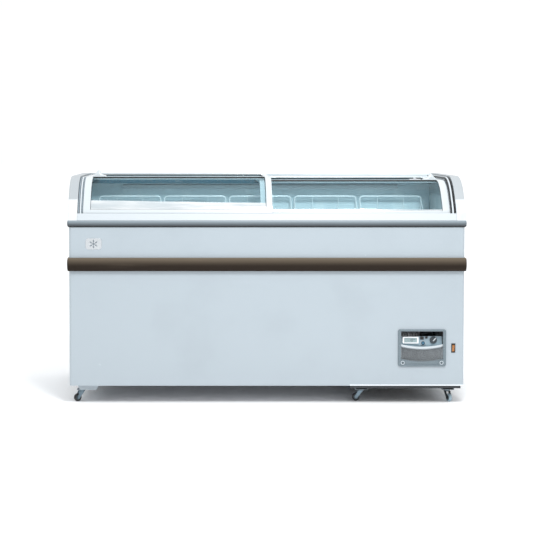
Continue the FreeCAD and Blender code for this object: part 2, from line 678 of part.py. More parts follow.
# ---------------------------------------------------------------- lids
def lid(name, outer):
    """One sliding lid: frame with a curved window, glass, grip."""
    side = -1 if outer else 1
    reach, overlap = size(LID_REACH), size("lid_overlap / 2")
    low_x, high_x = sorted((side * reach, -side * overlap))
    top, bottom = lid_depths(outer)
    pane_top, pane_bottom = tongue_depths(outer)
    start = RAIL_TOP + size("lid_lift")
    rear = size("lid_rear_inner") + (size("lid_rear_step") if outer else 0)
    end = along_at(rear)
    left_bar, right_bar = size("side_bar"), size("centre_bar")
    if not outer:
        left_bar, right_bar = right_bar, left_bar
    bite = size("glass_bite")
    bar_low = FLAT_START - size("top_bar_lead")
    bar_high = bar_low + size("top_bar")
    slab = strip(top, bottom, start, end, low_x, high_x)
    for first, last in ((start + size("low_bar"), bar_low), (bar_high, end - size("rear_bar"))):
        slab = slab.cut(strip(top - 1, bottom + 1, first, last, low_x + left_bar, high_x - right_bar))
    edge_low = start + size("low_bar") - bite
    edge_high = end - size("rear_bar") + bite
    pane = strip(pane_top, pane_bottom, edge_low, edge_high,
                 low_x + left_bar - bite, high_x - right_bar + bite)
    tongue = strip(pane_top, pane_bottom, start - size("tongue") - size("lid_lift"), start + 1,
                   low_x, high_x)
    frame = slab.cut(pane).fuse(tongue).removeSplitter()
    fixed(f"{name}_frame", frame)
    fixed(f"{name}_glass", pane)
    handle(f"{name}_handle", side, top)
    return low_x, high_x


def handle(label, side, depth):
    """Moulded grip: a tent-shaped wedge with a hollow for the fingers on its inner side."""
    wide, tall, base = size("handle_width"), size("handle_height"), size("handle_base")
    outer = side * size(f"{LID_REACH} - side_bar + glass_bite")
    level = size(ROOF) - depth
    front = ROOF_PIECES[-1][0].y
    shares = [(0, 0), (0, base / tall), (0.16, 1.5 * base / tall), (0.40, 1), (0.54, 1),
              (0.60, 0.62), (0.76, 0.26), (1, base / tall), (1, 0)]
    corners = [V(outer - side * wide * u, front, level + tall * v) for u, v in shares]
    edges = [line(a, b) for a, b in zip(corners, corners[1:] + corners[:1])]
    solid = Part.Face(Part.Wire(edges)).extrude(V(0, size("handle_depth"), 0))
    ridge = [edge for edge in solid.Edges if edge.BoundBox.ZMin > level + 0.99 * tall]
    fixed(label, solid.makeFillet(min(2.5, base / 1.5), ridge))


def lid_lock():
    """Flat lock plate with a barrel, beside the grip of the inner lid."""
    top = lid_depths(False)[0]
    level = size(ROOF) - top
    high = size(f"{LID_REACH} - side_bar + glass_bite - handle_width - lock_gap")
    low = high - size("lock_width")
    front = ROOF_PIECES[-1][0].y
    thick = size("lock_thick")
    plate = block((low, high), (front, front + size("lock_depth")), (level, level + thick))
    upright = [edge for edge in plate.Edges if edge.BoundBox.ZLength > thick / 2]
    plate = plate.makeFillet(3, upright)
    barrel = Part.makeCylinder(size("lock_barrel / 2"), 2 * thick,
                               V((low + high) / 2, front + size("lock_depth / 2"), level + thick / 2))
    slot = block(((low + high) / 2 - 0.8, (low + high) / 2 + 0.8),
                 (front + size("lock_depth / 2") - 3, front + size("lock_depth / 2") + 3),
                 (level + 1.7 * thick, level + 3 * thick))
    fixed("right_lid_lock", plate.fuse(barrel).cut(slot).removeSplitter())


# ---------------------------------------------------------------- baskets
def baskets():
    """Open baskets side by side; the rear of each stands up as a tall frame."""
    count = round(size("basket_count"))
    room = size(f"{TANK_X} - basket_side_room") * 2
    gap, wall = size("basket_gap"), size("basket_wall")
    wide = (room - (count - 1) * gap) / count
    front, back = -size(f"{TANK_Y} - basket_front_room"), size(f"{TANK_Y} - basket_back_room")
    low, rim, raised = size("basket_bottom"), size("basket_rim"), size("basket_raised")
    lip_low = size("bead_top - bead")
    lip = size("basket_lip")
    for number in range(count):
        x = -room / 2 + number * (wide + gap)
        side = [(front, low), (back, low), (back, raised), (back - wall, raised),
                (back - size("basket_slope"), rim), (front, rim)]
        solid = polygon(side, x, x + wide)
        inside = block((x + wall, x + wide - wall), (front + wall, back - wall), (low + wall, raised + 1))
        solid = solid.cut(inside)
        rear_lip = block((x, x + wide), (back - 1, min(back + lip, size(TANK_Y) - 1)),
                         (lip_low, lip_low + wall))
        front_lip = block((x, x + wide), (max(front - lip, 1 - size(TANK_Y)), front + 1),
                          (lip_low, lip_low + wall))
        fixed(f"basket_{number + 1}", solid.fuse([rear_lip, front_lip]).removeSplitter())


# ---------------------------------------------------------------- control panel
def arc_edge(x_half, level, sag, y):
    """A sagging arc across the panel opening, seen from the front."""
    x = size(PANEL_X)
    return Part.Arc(V(x - x_half, y, level), V(x, y, level - sag), V(x + x_half, y, level)).toShape()


def between_arcs(upper, lower, y_front, y_back, x_half):
    """A plate whose upper and lower edges are (level, sag) arcs, seen from the front."""
    x = size(PANEL_X)
    tops = arc_edge(x_half, upper[0], upper[1], y_front)
    if lower[1]:
        lows = arc_edge(x_half, lower[0], lower[1], y_front)
    else:
        lows = line(V(x - x_half, y_front, lower[0]), V(x + x_half, y_front, lower[0]))
    ends = [line(V(x + s * x_half, y_front, upper[0]), V(x + s * x_half, y_front, lower[0]))
            for s in (-1, 1)]
    wire = Part.Wire(Part.__sortEdges__([tops, lows] + ends))
    return Part.Face(wire).extrude(V(0, y_back - y_front, 0))


def control_bezel():
    """Silver frame and the tub behind it, one moulding, with a curved foot strip."""
    x, z = size(PANEL_X), size("panel_z")
    front = -size(HALF_DEPTH)
    out, deep, wall = size("bezel_out"), size("tub_depth"), size("tub_wall")
    half_w, half_h = size("bezel_width / 2"), size("bezel_height / 2")
    in_w, in_h = size("opening_width / 2"), size("opening_height / 2")
    flange = block((x - half_w, x + half_w), (front - out, front), (z - half_h, z + half_h))
    corners = [e for e in flange.Edges if e.BoundBox.YLength > out / 2]
    flange = flange.makeFillet(size("bezel_radius"), corners)
    rim = [e for e in flange.Edges if e.BoundBox.YMax < front - out / 2]
    flange = flange.makeFillet(out / 3, rim)
    tub = block((x - in_w - wall, x + in_w + wall), (front, front + deep),
                (z - in_h - wall, z + in_h + wall))
    mouth = block((x - in_w, x + in_w), (front - out - 1, front + deep + 1), (z - in_h, z + in_h))
    foot = between_arcs((size("grille_bottom"), size("band_sag")), (z - in_h, 0),
                        front - out / 2, front + size("grille_back"), in_w)
    fixed("control_bezel", flange.fuse(tub).cut(mouth).fuse(foot).removeSplitter())


def control_fascia():
    """Plate that carries the instruments, with a sagging band along its foot."""
    front = -size(HALF_DEPTH)
    half = size("opening_width / 2 - fit_gap / 2")
    x, back = size(PANEL_X), front + size("fascia_back")
    top, sag = size("band_top"), size("band_sag")
    low = top - size("band_height")
    plate = block((x - half, x + half), (back, back + size("fascia_thick")),
                  (low - sag, size("fascia_top")))
    band = between_arcs((top, sag), (low, sag), front + 1, back + 1, half)
    apron = between_arcs((low + 1, sag), (low - 0.5, sag), back, back + size("fascia_thick"), half)
    solid = plate.cut(between_arcs((low, sag), (low - 3 * sag, 0), back - 1, back + 10, half + 1))
    solid = solid.fuse([band, apron]).removeSplitter()
    shaft = size("knob_shaft / 2 + knob_clear")
    knob_x, knob_z = knob_centre()
    solid = solid.cut(Part.makeCylinder(shaft, 20, V(knob_x, back - 5, knob_z), Y_AXIS))
    button_x, button_z = button_centre()
    hole = size("button_radius - 2 + knob_clear")
    solid = solid.cut(Part.makeCylinder(hole, 20, V(button_x, back - 5, button_z), Y_AXIS))
    fixed("control_fascia", solid)


def across_fascia(widths, share):
    """X on the fascia: the widths of what is to the left, and a share of the room between things."""
    spare = size("opening_width - display_width - lamps_width - 2 * knob_radius")
    return size(f"{PANEL_X} - opening_width / 2 + {widths}") + size(share) * spare


def knob_centre():
    """Where the thermostat knob sits on the fascia."""
    x = across_fascia("display_width + lamps_width + knob_radius", "knob_share")
    return x, size("fascia_top - knob_radius - 1")


def button_centre():
    """Where the push button sits on the fascia."""
    x = across_fascia("display_width + button_along", "lamp_share")
    return x, size("band_top + button_radius - 5")


def vent_grille():
    """Plate of upright bars under the fascia, arched above and below."""
    front = -size(HALF_DEPTH) + size("grille_back")
    thick = size("grille_thick")
    half = size("opening_width / 2 - fit_gap / 2")
    sag = size("band_sag")
    top = size("band_top - band_height") - 0.3
    low = size("grille_bottom") - 3
    plate = between_arcs((top, sag), (low, sag), front, front + thick, half)
    border = 5
    window = between_arcs((top - border, sag), (low + border, sag), front - 1, front + thick + 1,
                          half - border)
    bars = window
    count, x = 26, size(PANEL_X)
    pitch = 2 * (half - border) / count
    for number in range(count):
        middle = x - half + border + (number + 0.5) * pitch
        bar = block((middle - pitch / 4, middle + pitch / 4), (front - 2, front + thick + 2),
                    (low - 3 * sag, top + sag))
        bars = bars.cut(bar)
    fixed("vent_grille", plate.cut(bars))


def instruments():
    """Thermometer, lamps, thermostat with knob, push button."""
    plate = -size(HALF_DEPTH) + size("fascia_back")
    left = across_fascia("0", "display_share")
    high = size("fascia_top") - 1
    wide, tall, out = size("display_width"), size("display_height"), size("display_out")
    case = block((left, left + wide), (plate - out, plate), (high - tall, high))
    face = [e for e in case.Edges if e.BoundBox.YMax < plate - out / 2 or e.BoundBox.YLength > out / 2]
    fixed("thermometer_display", case.makeFillet(1.5, face))
    lamps = [("0", 14, 12), ("20", 9, 8)]
    solids = []
    for along, across, up in lamps:
        x = across_fascia(f"display_width + {along}", "lamp_share")
        solids.append(block((x, x + across), (plate - size("lamp_out"), plate), (high - up, high)))
    fixed("indicator_lamps", Part.makeCompound(solids))
    knob_x, knob_z = knob_centre()
    thick = size("fascia_thick")
    deep, half = size("thermostat_deep"), size("knob_radius") + 1
    fixed("thermostat_body", block((knob_x - half, knob_x + half),
                                   (plate + thick + 1.5, plate + thick + deep),
                                   (knob_z - half, knob_z + half)))
    radius, reach = size("knob_radius"), size("knob_out")
    gap = size("knob_clear")
    disc = Part.makeCylinder(radius, reach / 2, V(knob_x, plate - gap, knob_z), -Y_AXIS)
    grip = block((knob_x - 3, knob_x + 3), (plate - reach, plate - gap - reach / 2 + 0.5),
                 (knob_z - radius + 2, knob_z + radius - 0.5))
    grip.rotate(V(knob_x, 0, knob_z), Y_AXIS, 40)
    shaft = Part.makeCylinder(size("knob_shaft / 2"), gap + thick + 1.2,
                              V(knob_x, plate - gap, knob_z), Y_AXIS)
    fixed("thermostat_knob", disc.fuse([grip, shaft]).removeSplitter())
    button_x, button_z = button_centre()
    radius, out = size("button_radius"), size("button_out")
    travel = size("button_travel")
    stem = Part.makeCylinder(radius - 2, out + thick, V(button_x, plate - out + 1, button_z), Y_AXIS)
    cap = Part.makeCylinder(radius, out - travel - gap, V(button_x, plate - travel - gap, button_z), -Y_AXIS)
    dome = [e for e in cap.Edges if e.BoundBox.YMax < plate - out + 1]
    fixed("push_button", cap.makeFillet(2, dome).fuse(stem).removeSplitter())


def rocker_switch():
    """Black frame with an amber rocker that tilts about a level axis."""
    x, z, front = size(SWITCH_X), size("switch_z"), -size(HALF_DEPTH)
    half_w, half_h, out = size("switch_width / 2"), size("switch_height / 2"), size("switch_out")
    deep = size("switch_deep")
    flange = block((x - half_w, x + half_w), (front - out, front), (z - half_h, z + half_h))
    edges = [e for e in flange.Edges if e.BoundBox.YMax < front - out / 2]
    flange = flange.makeFillet(out / 2, edges)
    case = block((x - half_w + out, x + half_w - out), (front, front + deep),
                 (z - half_h + out, z + half_h - out))
    clear = size("rocker_clear")
    rock_w, rock_h = size("rocker_width / 2"), size("rocker_height / 2")
    swing = math.hypot(rock_h, 3 + out) + clear
    well = block((x - rock_w - clear, x + rock_w + clear), (front - out - 1, front + deep - 4),
                 (z - swing, z + swing))
    pivot = front + size("rocker_pivot")
    reach = rock_w + clear + size("rocker_pin_reach")
    start = V(x - reach, pivot, z)
    pin_hole = Part.makeCylinder(size("rocker_pin + rocker_pin_clear"), 2 * reach, start, X_AXIS)
    fixed("switch_housing", flange.fuse(case).cut([well, pin_hole]).removeSplitter())
    pin = Part.makeCylinder(size("rocker_pin"), 2 * reach, start, X_AXIS)
    rise, slope = 3 + out, math.tan(math.radians(size("rocker_tilt")))
    dip = rise - rock_h * slope
    outline = [(pivot - rise, z - rock_h), (pivot - dip, z), (pivot - rise, z + rock_h),
               (pivot + 1, z + rock_h), (pivot + 6, z + rock_h / 2), (pivot + 6, z - rock_h / 2),
               (pivot + 1, z - rock_h)]
    rocker = polygon(outline, x - rock_w, x + rock_w)
    rocker.rotate(V(x, pivot, z), X_AXIS, size("rocker_tilt"))
    fixed("rocker", rocker.fuse(pin).removeSplitter())


# ---------------------------------------------------------------- base and casters
def compressor_tray():
    """Shallow pan under the bay."""
    right = f"({BAY_LEFT} + tray_length)"
    y = f"({HALF_DEPTH} - 5)"
    outside = span_box("tray_outside", (BAY_LEFT, right), (f"-{y}", y),
                       ("tray_bottom", "tray_bottom + tray_depth - skin"))
    inside = span_box("tray_inside", (f"{BAY_LEFT} + tray_thick", f"{right} - tray_thick"),
                      (f"tray_thick - {y}", f"{y} - tray_thick"),
                      ("tray_bottom + tray_thick", "tray_bottom + 2 * tray_depth"))
    cut("compressor_tray", outside, inside)


def caster_rails():
    """Pressed channels that carry the casters: a deep one on the left, two under the tray."""
    thick, reach = size("rail_thick"), size(f"{HALF_DEPTH} - rail_end_room")
    mount = size("mount_height")

    def channel(x, half, top, flange):
        sides = [(x - half - flange, top), (x - half + thick, top), (x - half + thick, mount + thick),
                 (x + half - thick, mount + thick), (x + half - thick, top), (x + half + flange, top),
                 (x + half + flange, top - thick), (x + half, top - thick), (x + half, mount),
                 (x - half, mount), (x - half, top - thick), (x - half - flange, top - thick)]
        points = [V(a, -reach, b) for a, b in sides]
        edges = [line(a, b) for a, b in zip(points, points[1:] + points[:1])]
        return Part.Face(Part.Wire(edges)).extrude(V(0, 2 * reach, 0))

    flange = size("left_rail_flange")
    rails = [channel(size(LEFT_RAIL_X), size("left_rail_width / 2") - flange,
                     size("body_bottom"), flange)]
    for place in (CASTER_MIDDLE, CASTER_RIGHT):
        rails.append(channel(size(place), size("tray_rail_width / 2") - 6, size("tray_bottom"), 6))
    fixed("caster_rails", Part.makeCompound(rails))


# name, x, side of the object (-1 front, 1 rear), trail direction in degrees from +X
CASTERS = [
    ("front_left", CASTER_LEFT, -1, 214), ("front_middle", CASTER_MIDDLE, -1, 183),
    ("front_right", CASTER_RIGHT, -1, 287), ("rear_left", CASTER_LEFT, 1, 150),
    ("rear_middle", CASTER_MIDDLE, 1, 20), ("rear_right", CASTER_RIGHT, 1, 75),
]


def caster_place(x, side):
    """Middle of a caster's swivel on the floor plan."""
    return size(x), side * size(f"{HALF_DEPTH} - caster_inset")


def casters():
    """Six swivel casters: fixed plate, fork with axle, wheel."""
    mount, thick, half = size("mount_height"), size("plate_thick"), size("plate_side / 2")
    race = mount - thick - size("race_height")
    crown = race - size("swivel_gap")
    plates = []
    for name, x, side, turn in CASTERS:
        at_x, at_y = caster_place(x, side)
        plate = block((at_x - half, at_x + half), (at_y - half, at_y + half), (mount - thick, mount))
        plate = plate.makeFillet(4, [e for e in plate.Edges if e.BoundBox.ZLength > thick / 2])
        plates.append(plate.fuse(Part.makeCylinder(size("race_radius"), size("race_height"),
                                                   V(at_x, at_y, race))).removeSplitter())
        place = FreeCAD.Placement(V(at_x, at_y, 0), FreeCAD.Rotation(Z_AXIS, turn))
        for label, shape in ((f"{name}_fork", fork(crown)), (f"{name}_wheel", wheel())):
            fixed(label, shape).Placement = place
    fixed("caster_plates", Part.makeCompound(plates))


def fork(crown):
    """Swivel head, two cheeks and the axle; the axle trails along local +X."""
    wide = size("wheel_width / 2 + fork_gap")
    thick, boss = size("fork_thick"), size("fork_boss")
    axle_x, axle_z = size("trail"), size("wheel_radius")
    radius, head = size("axle_radius"), size("fork_crown")
    top = Part.makeCylinder(size("race_radius"), head, V(0, 0, crown - head))
    bridge = block((-4, 10), (-wide - thick, wide + thick), (crown - head, crown))
    cheeks = []
    outline = [V(-8, 0, crown), V(11, 0, crown), V(axle_x + boss, 0, axle_z + 2),
               V(axle_x + boss * 0.5, 0, axle_z - boss * 0.8),
               V(axle_x - boss * 0.5, 0, axle_z - boss * 0.8),
               V(axle_x - boss, 0, axle_z)]
    edges = [line(a, b) for a, b in zip(outline, outline[1:] + outline[:1])]
    face = Part.Face(Part.Wire(edges))
    for low in (-wide - thick, wide):
        cheek = face.extrude(V(0, thick, 0))
        cheek.translate(V(0, low, 0))
        cheeks.append(cheek)
    frame = top.fuse([bridge] + cheeks).removeSplitter()
    hole = Part.makeCylinder(radius, 4 * wide, V(axle_x, -2 * wide, axle_z), Y_AXIS)
    pin = Part.makeCylinder(radius, 2 * (wide + thick), V(axle_x, -wide - thick, axle_z), Y_AXIS)
    heads = [Part.makeCylinder(radius + 1.5, 1.5, V(axle_x, s * (wide + thick), axle_z), s * Y_AXIS)
             for s in (-1, 1)]
    return Part.makeCompound([frame.cut(hole), pin.fuse(heads).removeSplitter()])


def wheel():
    """Tyre and hub, with a shallow dish on both faces."""
    radius, half = size("wheel_radius"), size("wheel_width / 2")
    axle_x = size("trail")
    disc = Part.makeCylinder(radius, 2 * half, V(axle_x, -half, radius), Y_AXIS)
    disc = disc.makeFillet(2.5, [e for e in disc.Edges if e.BoundBox.YLength < 0.01])
    for s in (-1, 1):
        dish = Part.makeCylinder(0.62 * radius, 1.5, V(axle_x, s * (half - 1.5), radius), s * Y_AXIS)
        boss = Part.makeCylinder(0.3 * radius, 1.5, V(axle_x, s * (half - 1.5), radius), s * Y_AXIS)
        disc = disc.cut(dish.cut(boss))
    bore = Part.makeCylinder(size("axle_radius + axle_clear"), 4 * half,
                             V(axle_x, -2 * half, radius), Y_AXIS)
    return disc.cut(bore)


# ---------------------------------------------------------------- machinery
def compressor():
    """Sealed compressor on four feet in the tray."""
    x, y = size(COMPRESSOR_X), size(COMPRESSOR_Y)
    floor = size("tray_bottom + tray_thick")
    radius, tall = size("compressor_radius"), size("compressor_height")
    foot = 14
    can = Part.makeCylinder(radius, tall - foot, V(x, y, floor + foot))
    can = can.makeFillet(radius / 2.6, [e for e in can.Edges if e.BoundBox.ZLength < 0.01])
    plate = block((x - radius, x + radius), (y - radius / 1.3, y + radius / 1.3),
                  (floor + foot - 2, floor + foot + 22))
    feet = [Part.makeCylinder(12, foot, V(x + sx * (radius - 13), y + sy * (radius / 1.3 - 13), floor))
            for sx in (-1, 1) for sy in (-1, 1)]
    relay = block((x - radius - 24, x - radius + 14), (y - 22, y + 22),
                  (floor + 0.4 * tall, floor + 0.75 * tall))
    fixed("compressor", can.fuse([plate, relay] + feet).removeSplitter())


def condenser_and_fan():
    """Finned block, fan blades and their motor, one behind the other."""
    x, y = size(CONDENSER_X), size(CONDENSER_Y)
    floor = size("tray_bottom + tray_thick")
    wide, tall, deep = size("condenser_width"), size("condenser_height"), size("condenser_depth")
    side_plate, fin, rows, tube = 1.5, 0.8, 24, 4
    solids = [block((x + s * wide / 2 - side_plate, x + s * wide / 2 + side_plate), (y, y + deep),
                    (floor, floor + tall)) for s in (-1, 1)]
    solids.append(block((x - wide / 2, x + wide / 2), (y, y + deep), (floor, floor + side_plate)))
    for row in range(6):
        for column in (0.28, 0.72):
            level = floor + tall * (row + 0.5) / 6
            solids.append(Part.makeCylinder(tube, wide, V(x - wide / 2, y + column * deep, level), X_AXIS))
    for number in range(rows):
        at = x - wide / 2 + wide * (number + 0.5) / rows
        solids.append(block((at - fin / 2, at + fin / 2), (y, y + deep), (floor + 8, floor + tall)))
    fixed("condenser", solids[0].fuse(solids[1:]).removeSplitter())
    middle = floor + tall / 2
    blade_y = y + deep + size("fan_gap")
    radius, thick = size("fan_radius"), size("fan_depth")
    hub = Part.makeCylinder(radius / 4, thick, V(x, blade_y, middle), Y_AXIS)
    blades = []
    for number in range(5):
        blade = block((x - 22, x + 22), (blade_y + thick / 2 - 1, blade_y + thick / 2 + 1),
                      (middle + radius / 5, middle + radius))
        blade.rotate(V(x, blade_y + thick / 2, middle), Z_AXIS, 22)
        blade.rotate(V(x, 0, middle), Y_AXIS, 72 * number)
        blades.append(blade)
    fixed("fan_blade", hub.fuse(blades).removeSplitter())
    motor_y = blade_y + thick + size("knob_clear")
    case = Part.makeCylinder(size("motor_radius"), size("motor_depth"), V(x, motor_y, middle), Y_AXIS)
    post = block((x - 12, x + 12), (motor_y + 14, motor_y + 34), (floor, middle))
    shoe = block((x - 40, x + 40), (motor_y + 4, motor_y + 60), (floor, floor + 2))
    fixed("fan_motor", case.fuse([post, shoe]).removeSplitter())


def tube_along(points, radius, bend):
    """A round tube along straight runs joined by tangent arcs."""
    edges, start = [], points[0]
    for before, corner, after in zip(points, points[1:], points[2:]):
        back = (before - corner).normalize()
        ahead = (after - corner).normalize()
        half = math.acos(max(-1, min(1, back.dot(ahead)))) / 2
        reach = bend / math.tan(half)
        first, last = corner + back * reach, corner + ahead * reach
        inside = (back + ahead).normalize()
        middle = corner + inside * (bend / math.sin(half) - bend)
        edges += [line(start, first), Part.Arc(first, middle, last).toShape()]
        start = last
    edges.append(line(start, points[-1]))
    direction = (points[1] - points[0]).normalize()
    ring = Part.Wire(Part.Circle(points[0], direction, radius).toShape())
    return Part.Wire(edges).makePipeShell([ring], True, False)


def refrigerant_pipes():
    """Discharge tube from the compressor to the condenser, with the drier in it."""
    x, y = size(COMPRESSOR_X), size(COMPRESSOR_Y)
    floor = size("tray_bottom + tray_thick")
    radius = size("pipe_radius")
    top = floor + size("compressor_height")
    high = top + 26
    target_x = size(f"{CONDENSER_X} - condenser_width / 2") + 20
    target_y = size(f"{CONDENSER_Y} + condenser_depth")
    level = floor + size("condenser_height") - 20
    route = [V(x, y, top), V(x, y, high), V(x - 150, y, high), V(target_x, y - 60, high),
             V(target_x, target_y + 60, level), V(target_x, target_y, level)]
    pipe = tube_along(route, radius, 5 * radius)
    drier = Part.makeCylinder(2.6 * radius, 90, V(x - 30, y, high), -X_AXIS)
    drier = drier.makeFillet(1.5 * radius, [e for e in drier.Edges if e.BoundBox.XLength < 0.01])
    fixed("refrigerant_pipes", pipe.fuse(drier).removeSplitter())


def evaporator_coil():
    """Tube wound round the tank, rising one pitch along the left end of each turn."""
    grow = size("skin + coil_space / 2")
    x, y = size(TANK_X) + grow, size(TANK_Y) + grow
    radius, pitch, level = size("coil_tube / 2"), size("coil_pitch"), size("coil_start")
    turns = max(1, int((size(BODY_TOP) - level) / pitch) - 1)
    route = []
    for number in range(turns):
        z = level + number * pitch
        route += [V(-x, -y, z), V(x, -y, z), V(x, y, z), V(-x, y, z)]
    route.append(V(-x, 0, level + (turns - 0.5) * pitch))
    edges = [line(a, b) for a, b in zip(route, route[1:])]
    ring = Part.Wire(Part.Circle(route[0], X_AXIS, radius).toShape())
    coil = Part.Wire(edges).makePipeShell([ring], True, False, 1)
    fixed("evaporator_coil", coil)


# ---------------------------------------------------------------- rear fittings
def rear_vent_grille():
    """Slotted frame over the bay's rear opening, as deep as the bumper so it spaces the wall."""
    half_w, half_h = "(vent_width / 2)", "(vent_height / 2)"
    outline = rectangle((f"{VENT_X} - {half_w}", f"{VENT_X} + {half_w}"),
                        (f"vent_z - {half_h}", f"vent_z + {half_h}"))
    body = padded("rear_vent_grille", "XZ_Plane", outline, "bumper_out",
                  f"-({HALF_DEPTH} + bumper_out)")
    pitch = "((vent_height - 2 * bead) / vent_slots)"
    low = f"(vent_z - {half_h} + bead)"
    slot = rectangle((f"{VENT_X} - {half_w} + bead", f"{VENT_X} + {half_w} - bead"),
                     (f"{low} + 0.2 * {pitch}", f"{low} + 0.8 * {pitch}"))
    cutter = pocket(body, "vent_slot", "XZ_Plane", slot, "4 * bumper_out", f"-{HALF_DEPTH}", True)
    rows = body.newObject("PartDesign::LinearPattern", "vent_rows")
    rows.Originals = [cutter]
    up = [o for o in body.Origin.OriginFeatures if o.Role == "Z_Axis"][0]
    rows.Direction = (up, [""])
    rows.setExpression("Length", formula(f"{pitch} * (vent_slots - 1)"))
    rows.setExpression("Occurrences", formula("vent_slots"))
    body.Tip = rows
    doc.recompute()


def cable_gland():
    """Bushed inlet for the mains cable, low on the back."""
    x, z = GLAND_X, "gland_z"
    flange = cylinder("gland_flange", (x, HALF_DEPTH, z), "gland_radius", "3", "+Y")
    neck = cylinder("gland_neck", (x, f"{HALF_DEPTH} - 4 * skin", z), "gland_radius - 3",
                    "bumper_out + 4 * skin", "+Y")
    outer = doc.addObject("Part::Fuse", "gland_outer")
    outer.Base, outer.Tool = flange, neck
    bore = cylinder("gland_bore", (x, f"{HALF_DEPTH} - 10 * skin", z), "gland_hole",
                    "bumper_out + 20 * skin", "+Y")
    cut("cable_gland", outer, bore)


# ---------------------------------------------------------------- build, check, write
outer_shell()
back_panel()
waste = [corner_waste("left_corner_waste", True), corner_waste("right_corner_waste", False)]
floor_and_bay(*waste)
insulation_foam(*waste)
inner_tank()
rim_trim()
bumper_strip()
badge_plate()
end_caps()
side_channels()
front_rail()
rear_rail()
lamp_cover()
lid("left_lid", True)
lid("right_lid", False)
lid_lock()
baskets()
control_bezel()
control_fascia()
vent_grille()
instruments()
rocker_switch()
compressor_tray()
caster_rails()
casters()
compressor()
condenser_and_fan()
refrigerant_pipes()
evaporator_coil()
rear_vent_grille()
cable_gland()
doc.recompute()

NODES = [
    "outer_shell", "back_panel", "base_panel", "compressor_bay_liner", "insulation_foam",
    "inner_tank", "rim_trim", "bumper_strip", "badge_plate", "left_end_cap", "right_end_cap",
    "side_channels", "front_rail", "rear_rail", "lamp_cover", "left_lid_frame", "left_lid_glass",
    "left_lid_handle", "right_lid_frame", "right_lid_glass", "right_lid_handle",
    "right_lid_lock", "control_bezel", "control_fascia", "vent_grille", "thermometer_display",
    "indicator_lamps", "thermostat_body", "thermostat_knob", "push_button", "switch_housing",
    "rocker", "compressor_tray", "caster_rails", "caster_plates", "compressor", "condenser",
    "fan_blade", "fan_motor", "refrigerant_pipes", "evaporator_coil", "rear_vent_grille",
    "cable_gland",
]
NODES += [f"basket_{number + 1}" for number in range(round(size("basket_count")))]
NODES += [f"{row[0]}_{piece}" for row in CASTERS for piece in ("fork", "wheel")]

for obj in doc.Objects:
    if {"Invalid", "Error"} & set(obj.State):
        raise ValueError(f"{obj.Name} failed: {obj.State}")
pieces = {}
for node in NODES:
    found = doc.getObjectsByLabel(node)
    if len(found) != 1:
        raise ValueError(f"{node} is made {len(found)} times")
    shape = found[0].Shape
    if shape.isNull() or not shape.isValid() or shape.Volume <= 0:
        raise ValueError(f"{node} has no valid solid")
    pieces[node] = shape
os.makedirs("parts", exist_ok=True)
for node, shape in pieces.items():
    shape.exportStep(f"parts/{node}.step")
whole = Part.makeCompound(list(pieces.values())).BoundBox
print(f"{len(pieces)} nodes, x {whole.XMin:.2f} {whole.XMax:.2f}, y {whole.YMin:.2f} "
      f"{whole.YMax:.2f}, z {whole.ZMin:.2f} {whole.ZMax:.2f}")
for name, x, side, turn in CASTERS:
    print(name, [round(number, 3) for number in caster_place(x, side)], turn)
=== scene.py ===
# %% [markdown]
# # Dressing a shop chest freezer
# The working model gives every solid piece of the freezer at its true size and place, but it is bare:
# sharp edges, no finishes, baskets that are plain boxes. This lesson keeps those sizes and adds what
# the eye expects: paint, moulded plastic, tinted curved glass, wire baskets, rubber wheels and the
# small things on the control panel. Everything is in metres, in the frame of the working model.

import json
import math

import bmesh
import bpy
import numpy as np
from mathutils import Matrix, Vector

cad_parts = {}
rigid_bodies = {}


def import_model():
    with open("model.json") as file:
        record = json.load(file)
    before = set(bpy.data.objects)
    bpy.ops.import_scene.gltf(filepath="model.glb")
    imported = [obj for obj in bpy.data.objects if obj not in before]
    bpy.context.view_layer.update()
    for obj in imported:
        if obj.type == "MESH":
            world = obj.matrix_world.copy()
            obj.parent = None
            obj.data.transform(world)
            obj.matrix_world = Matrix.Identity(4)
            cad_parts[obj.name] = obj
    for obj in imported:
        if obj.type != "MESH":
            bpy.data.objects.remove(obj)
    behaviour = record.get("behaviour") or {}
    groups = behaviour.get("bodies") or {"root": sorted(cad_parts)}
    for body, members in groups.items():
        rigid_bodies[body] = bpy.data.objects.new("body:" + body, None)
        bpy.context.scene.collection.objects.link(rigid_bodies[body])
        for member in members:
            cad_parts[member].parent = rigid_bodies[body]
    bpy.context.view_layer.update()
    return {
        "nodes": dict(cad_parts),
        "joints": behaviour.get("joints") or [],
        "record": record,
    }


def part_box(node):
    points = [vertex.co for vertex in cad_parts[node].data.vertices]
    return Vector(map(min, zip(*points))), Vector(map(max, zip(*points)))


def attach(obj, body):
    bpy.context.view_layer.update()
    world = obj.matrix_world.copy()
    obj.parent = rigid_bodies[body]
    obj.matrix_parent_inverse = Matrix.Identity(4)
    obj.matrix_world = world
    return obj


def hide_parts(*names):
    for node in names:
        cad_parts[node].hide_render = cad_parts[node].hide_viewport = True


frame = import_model()
MM = 0.001
X, Y, Z = np.eye(3)

# %% [markdown]
# ## Surfaces from arrays
# A piece could be pushed and pulled by hand, but then nobody can change a size later. Here a piece is
# one or more *grids*: rows of rings, worked out in one go with numpy. Wires, turned parts, mouldings
# and pads are all such grids, so one short function turns any of them into a closed mesh.


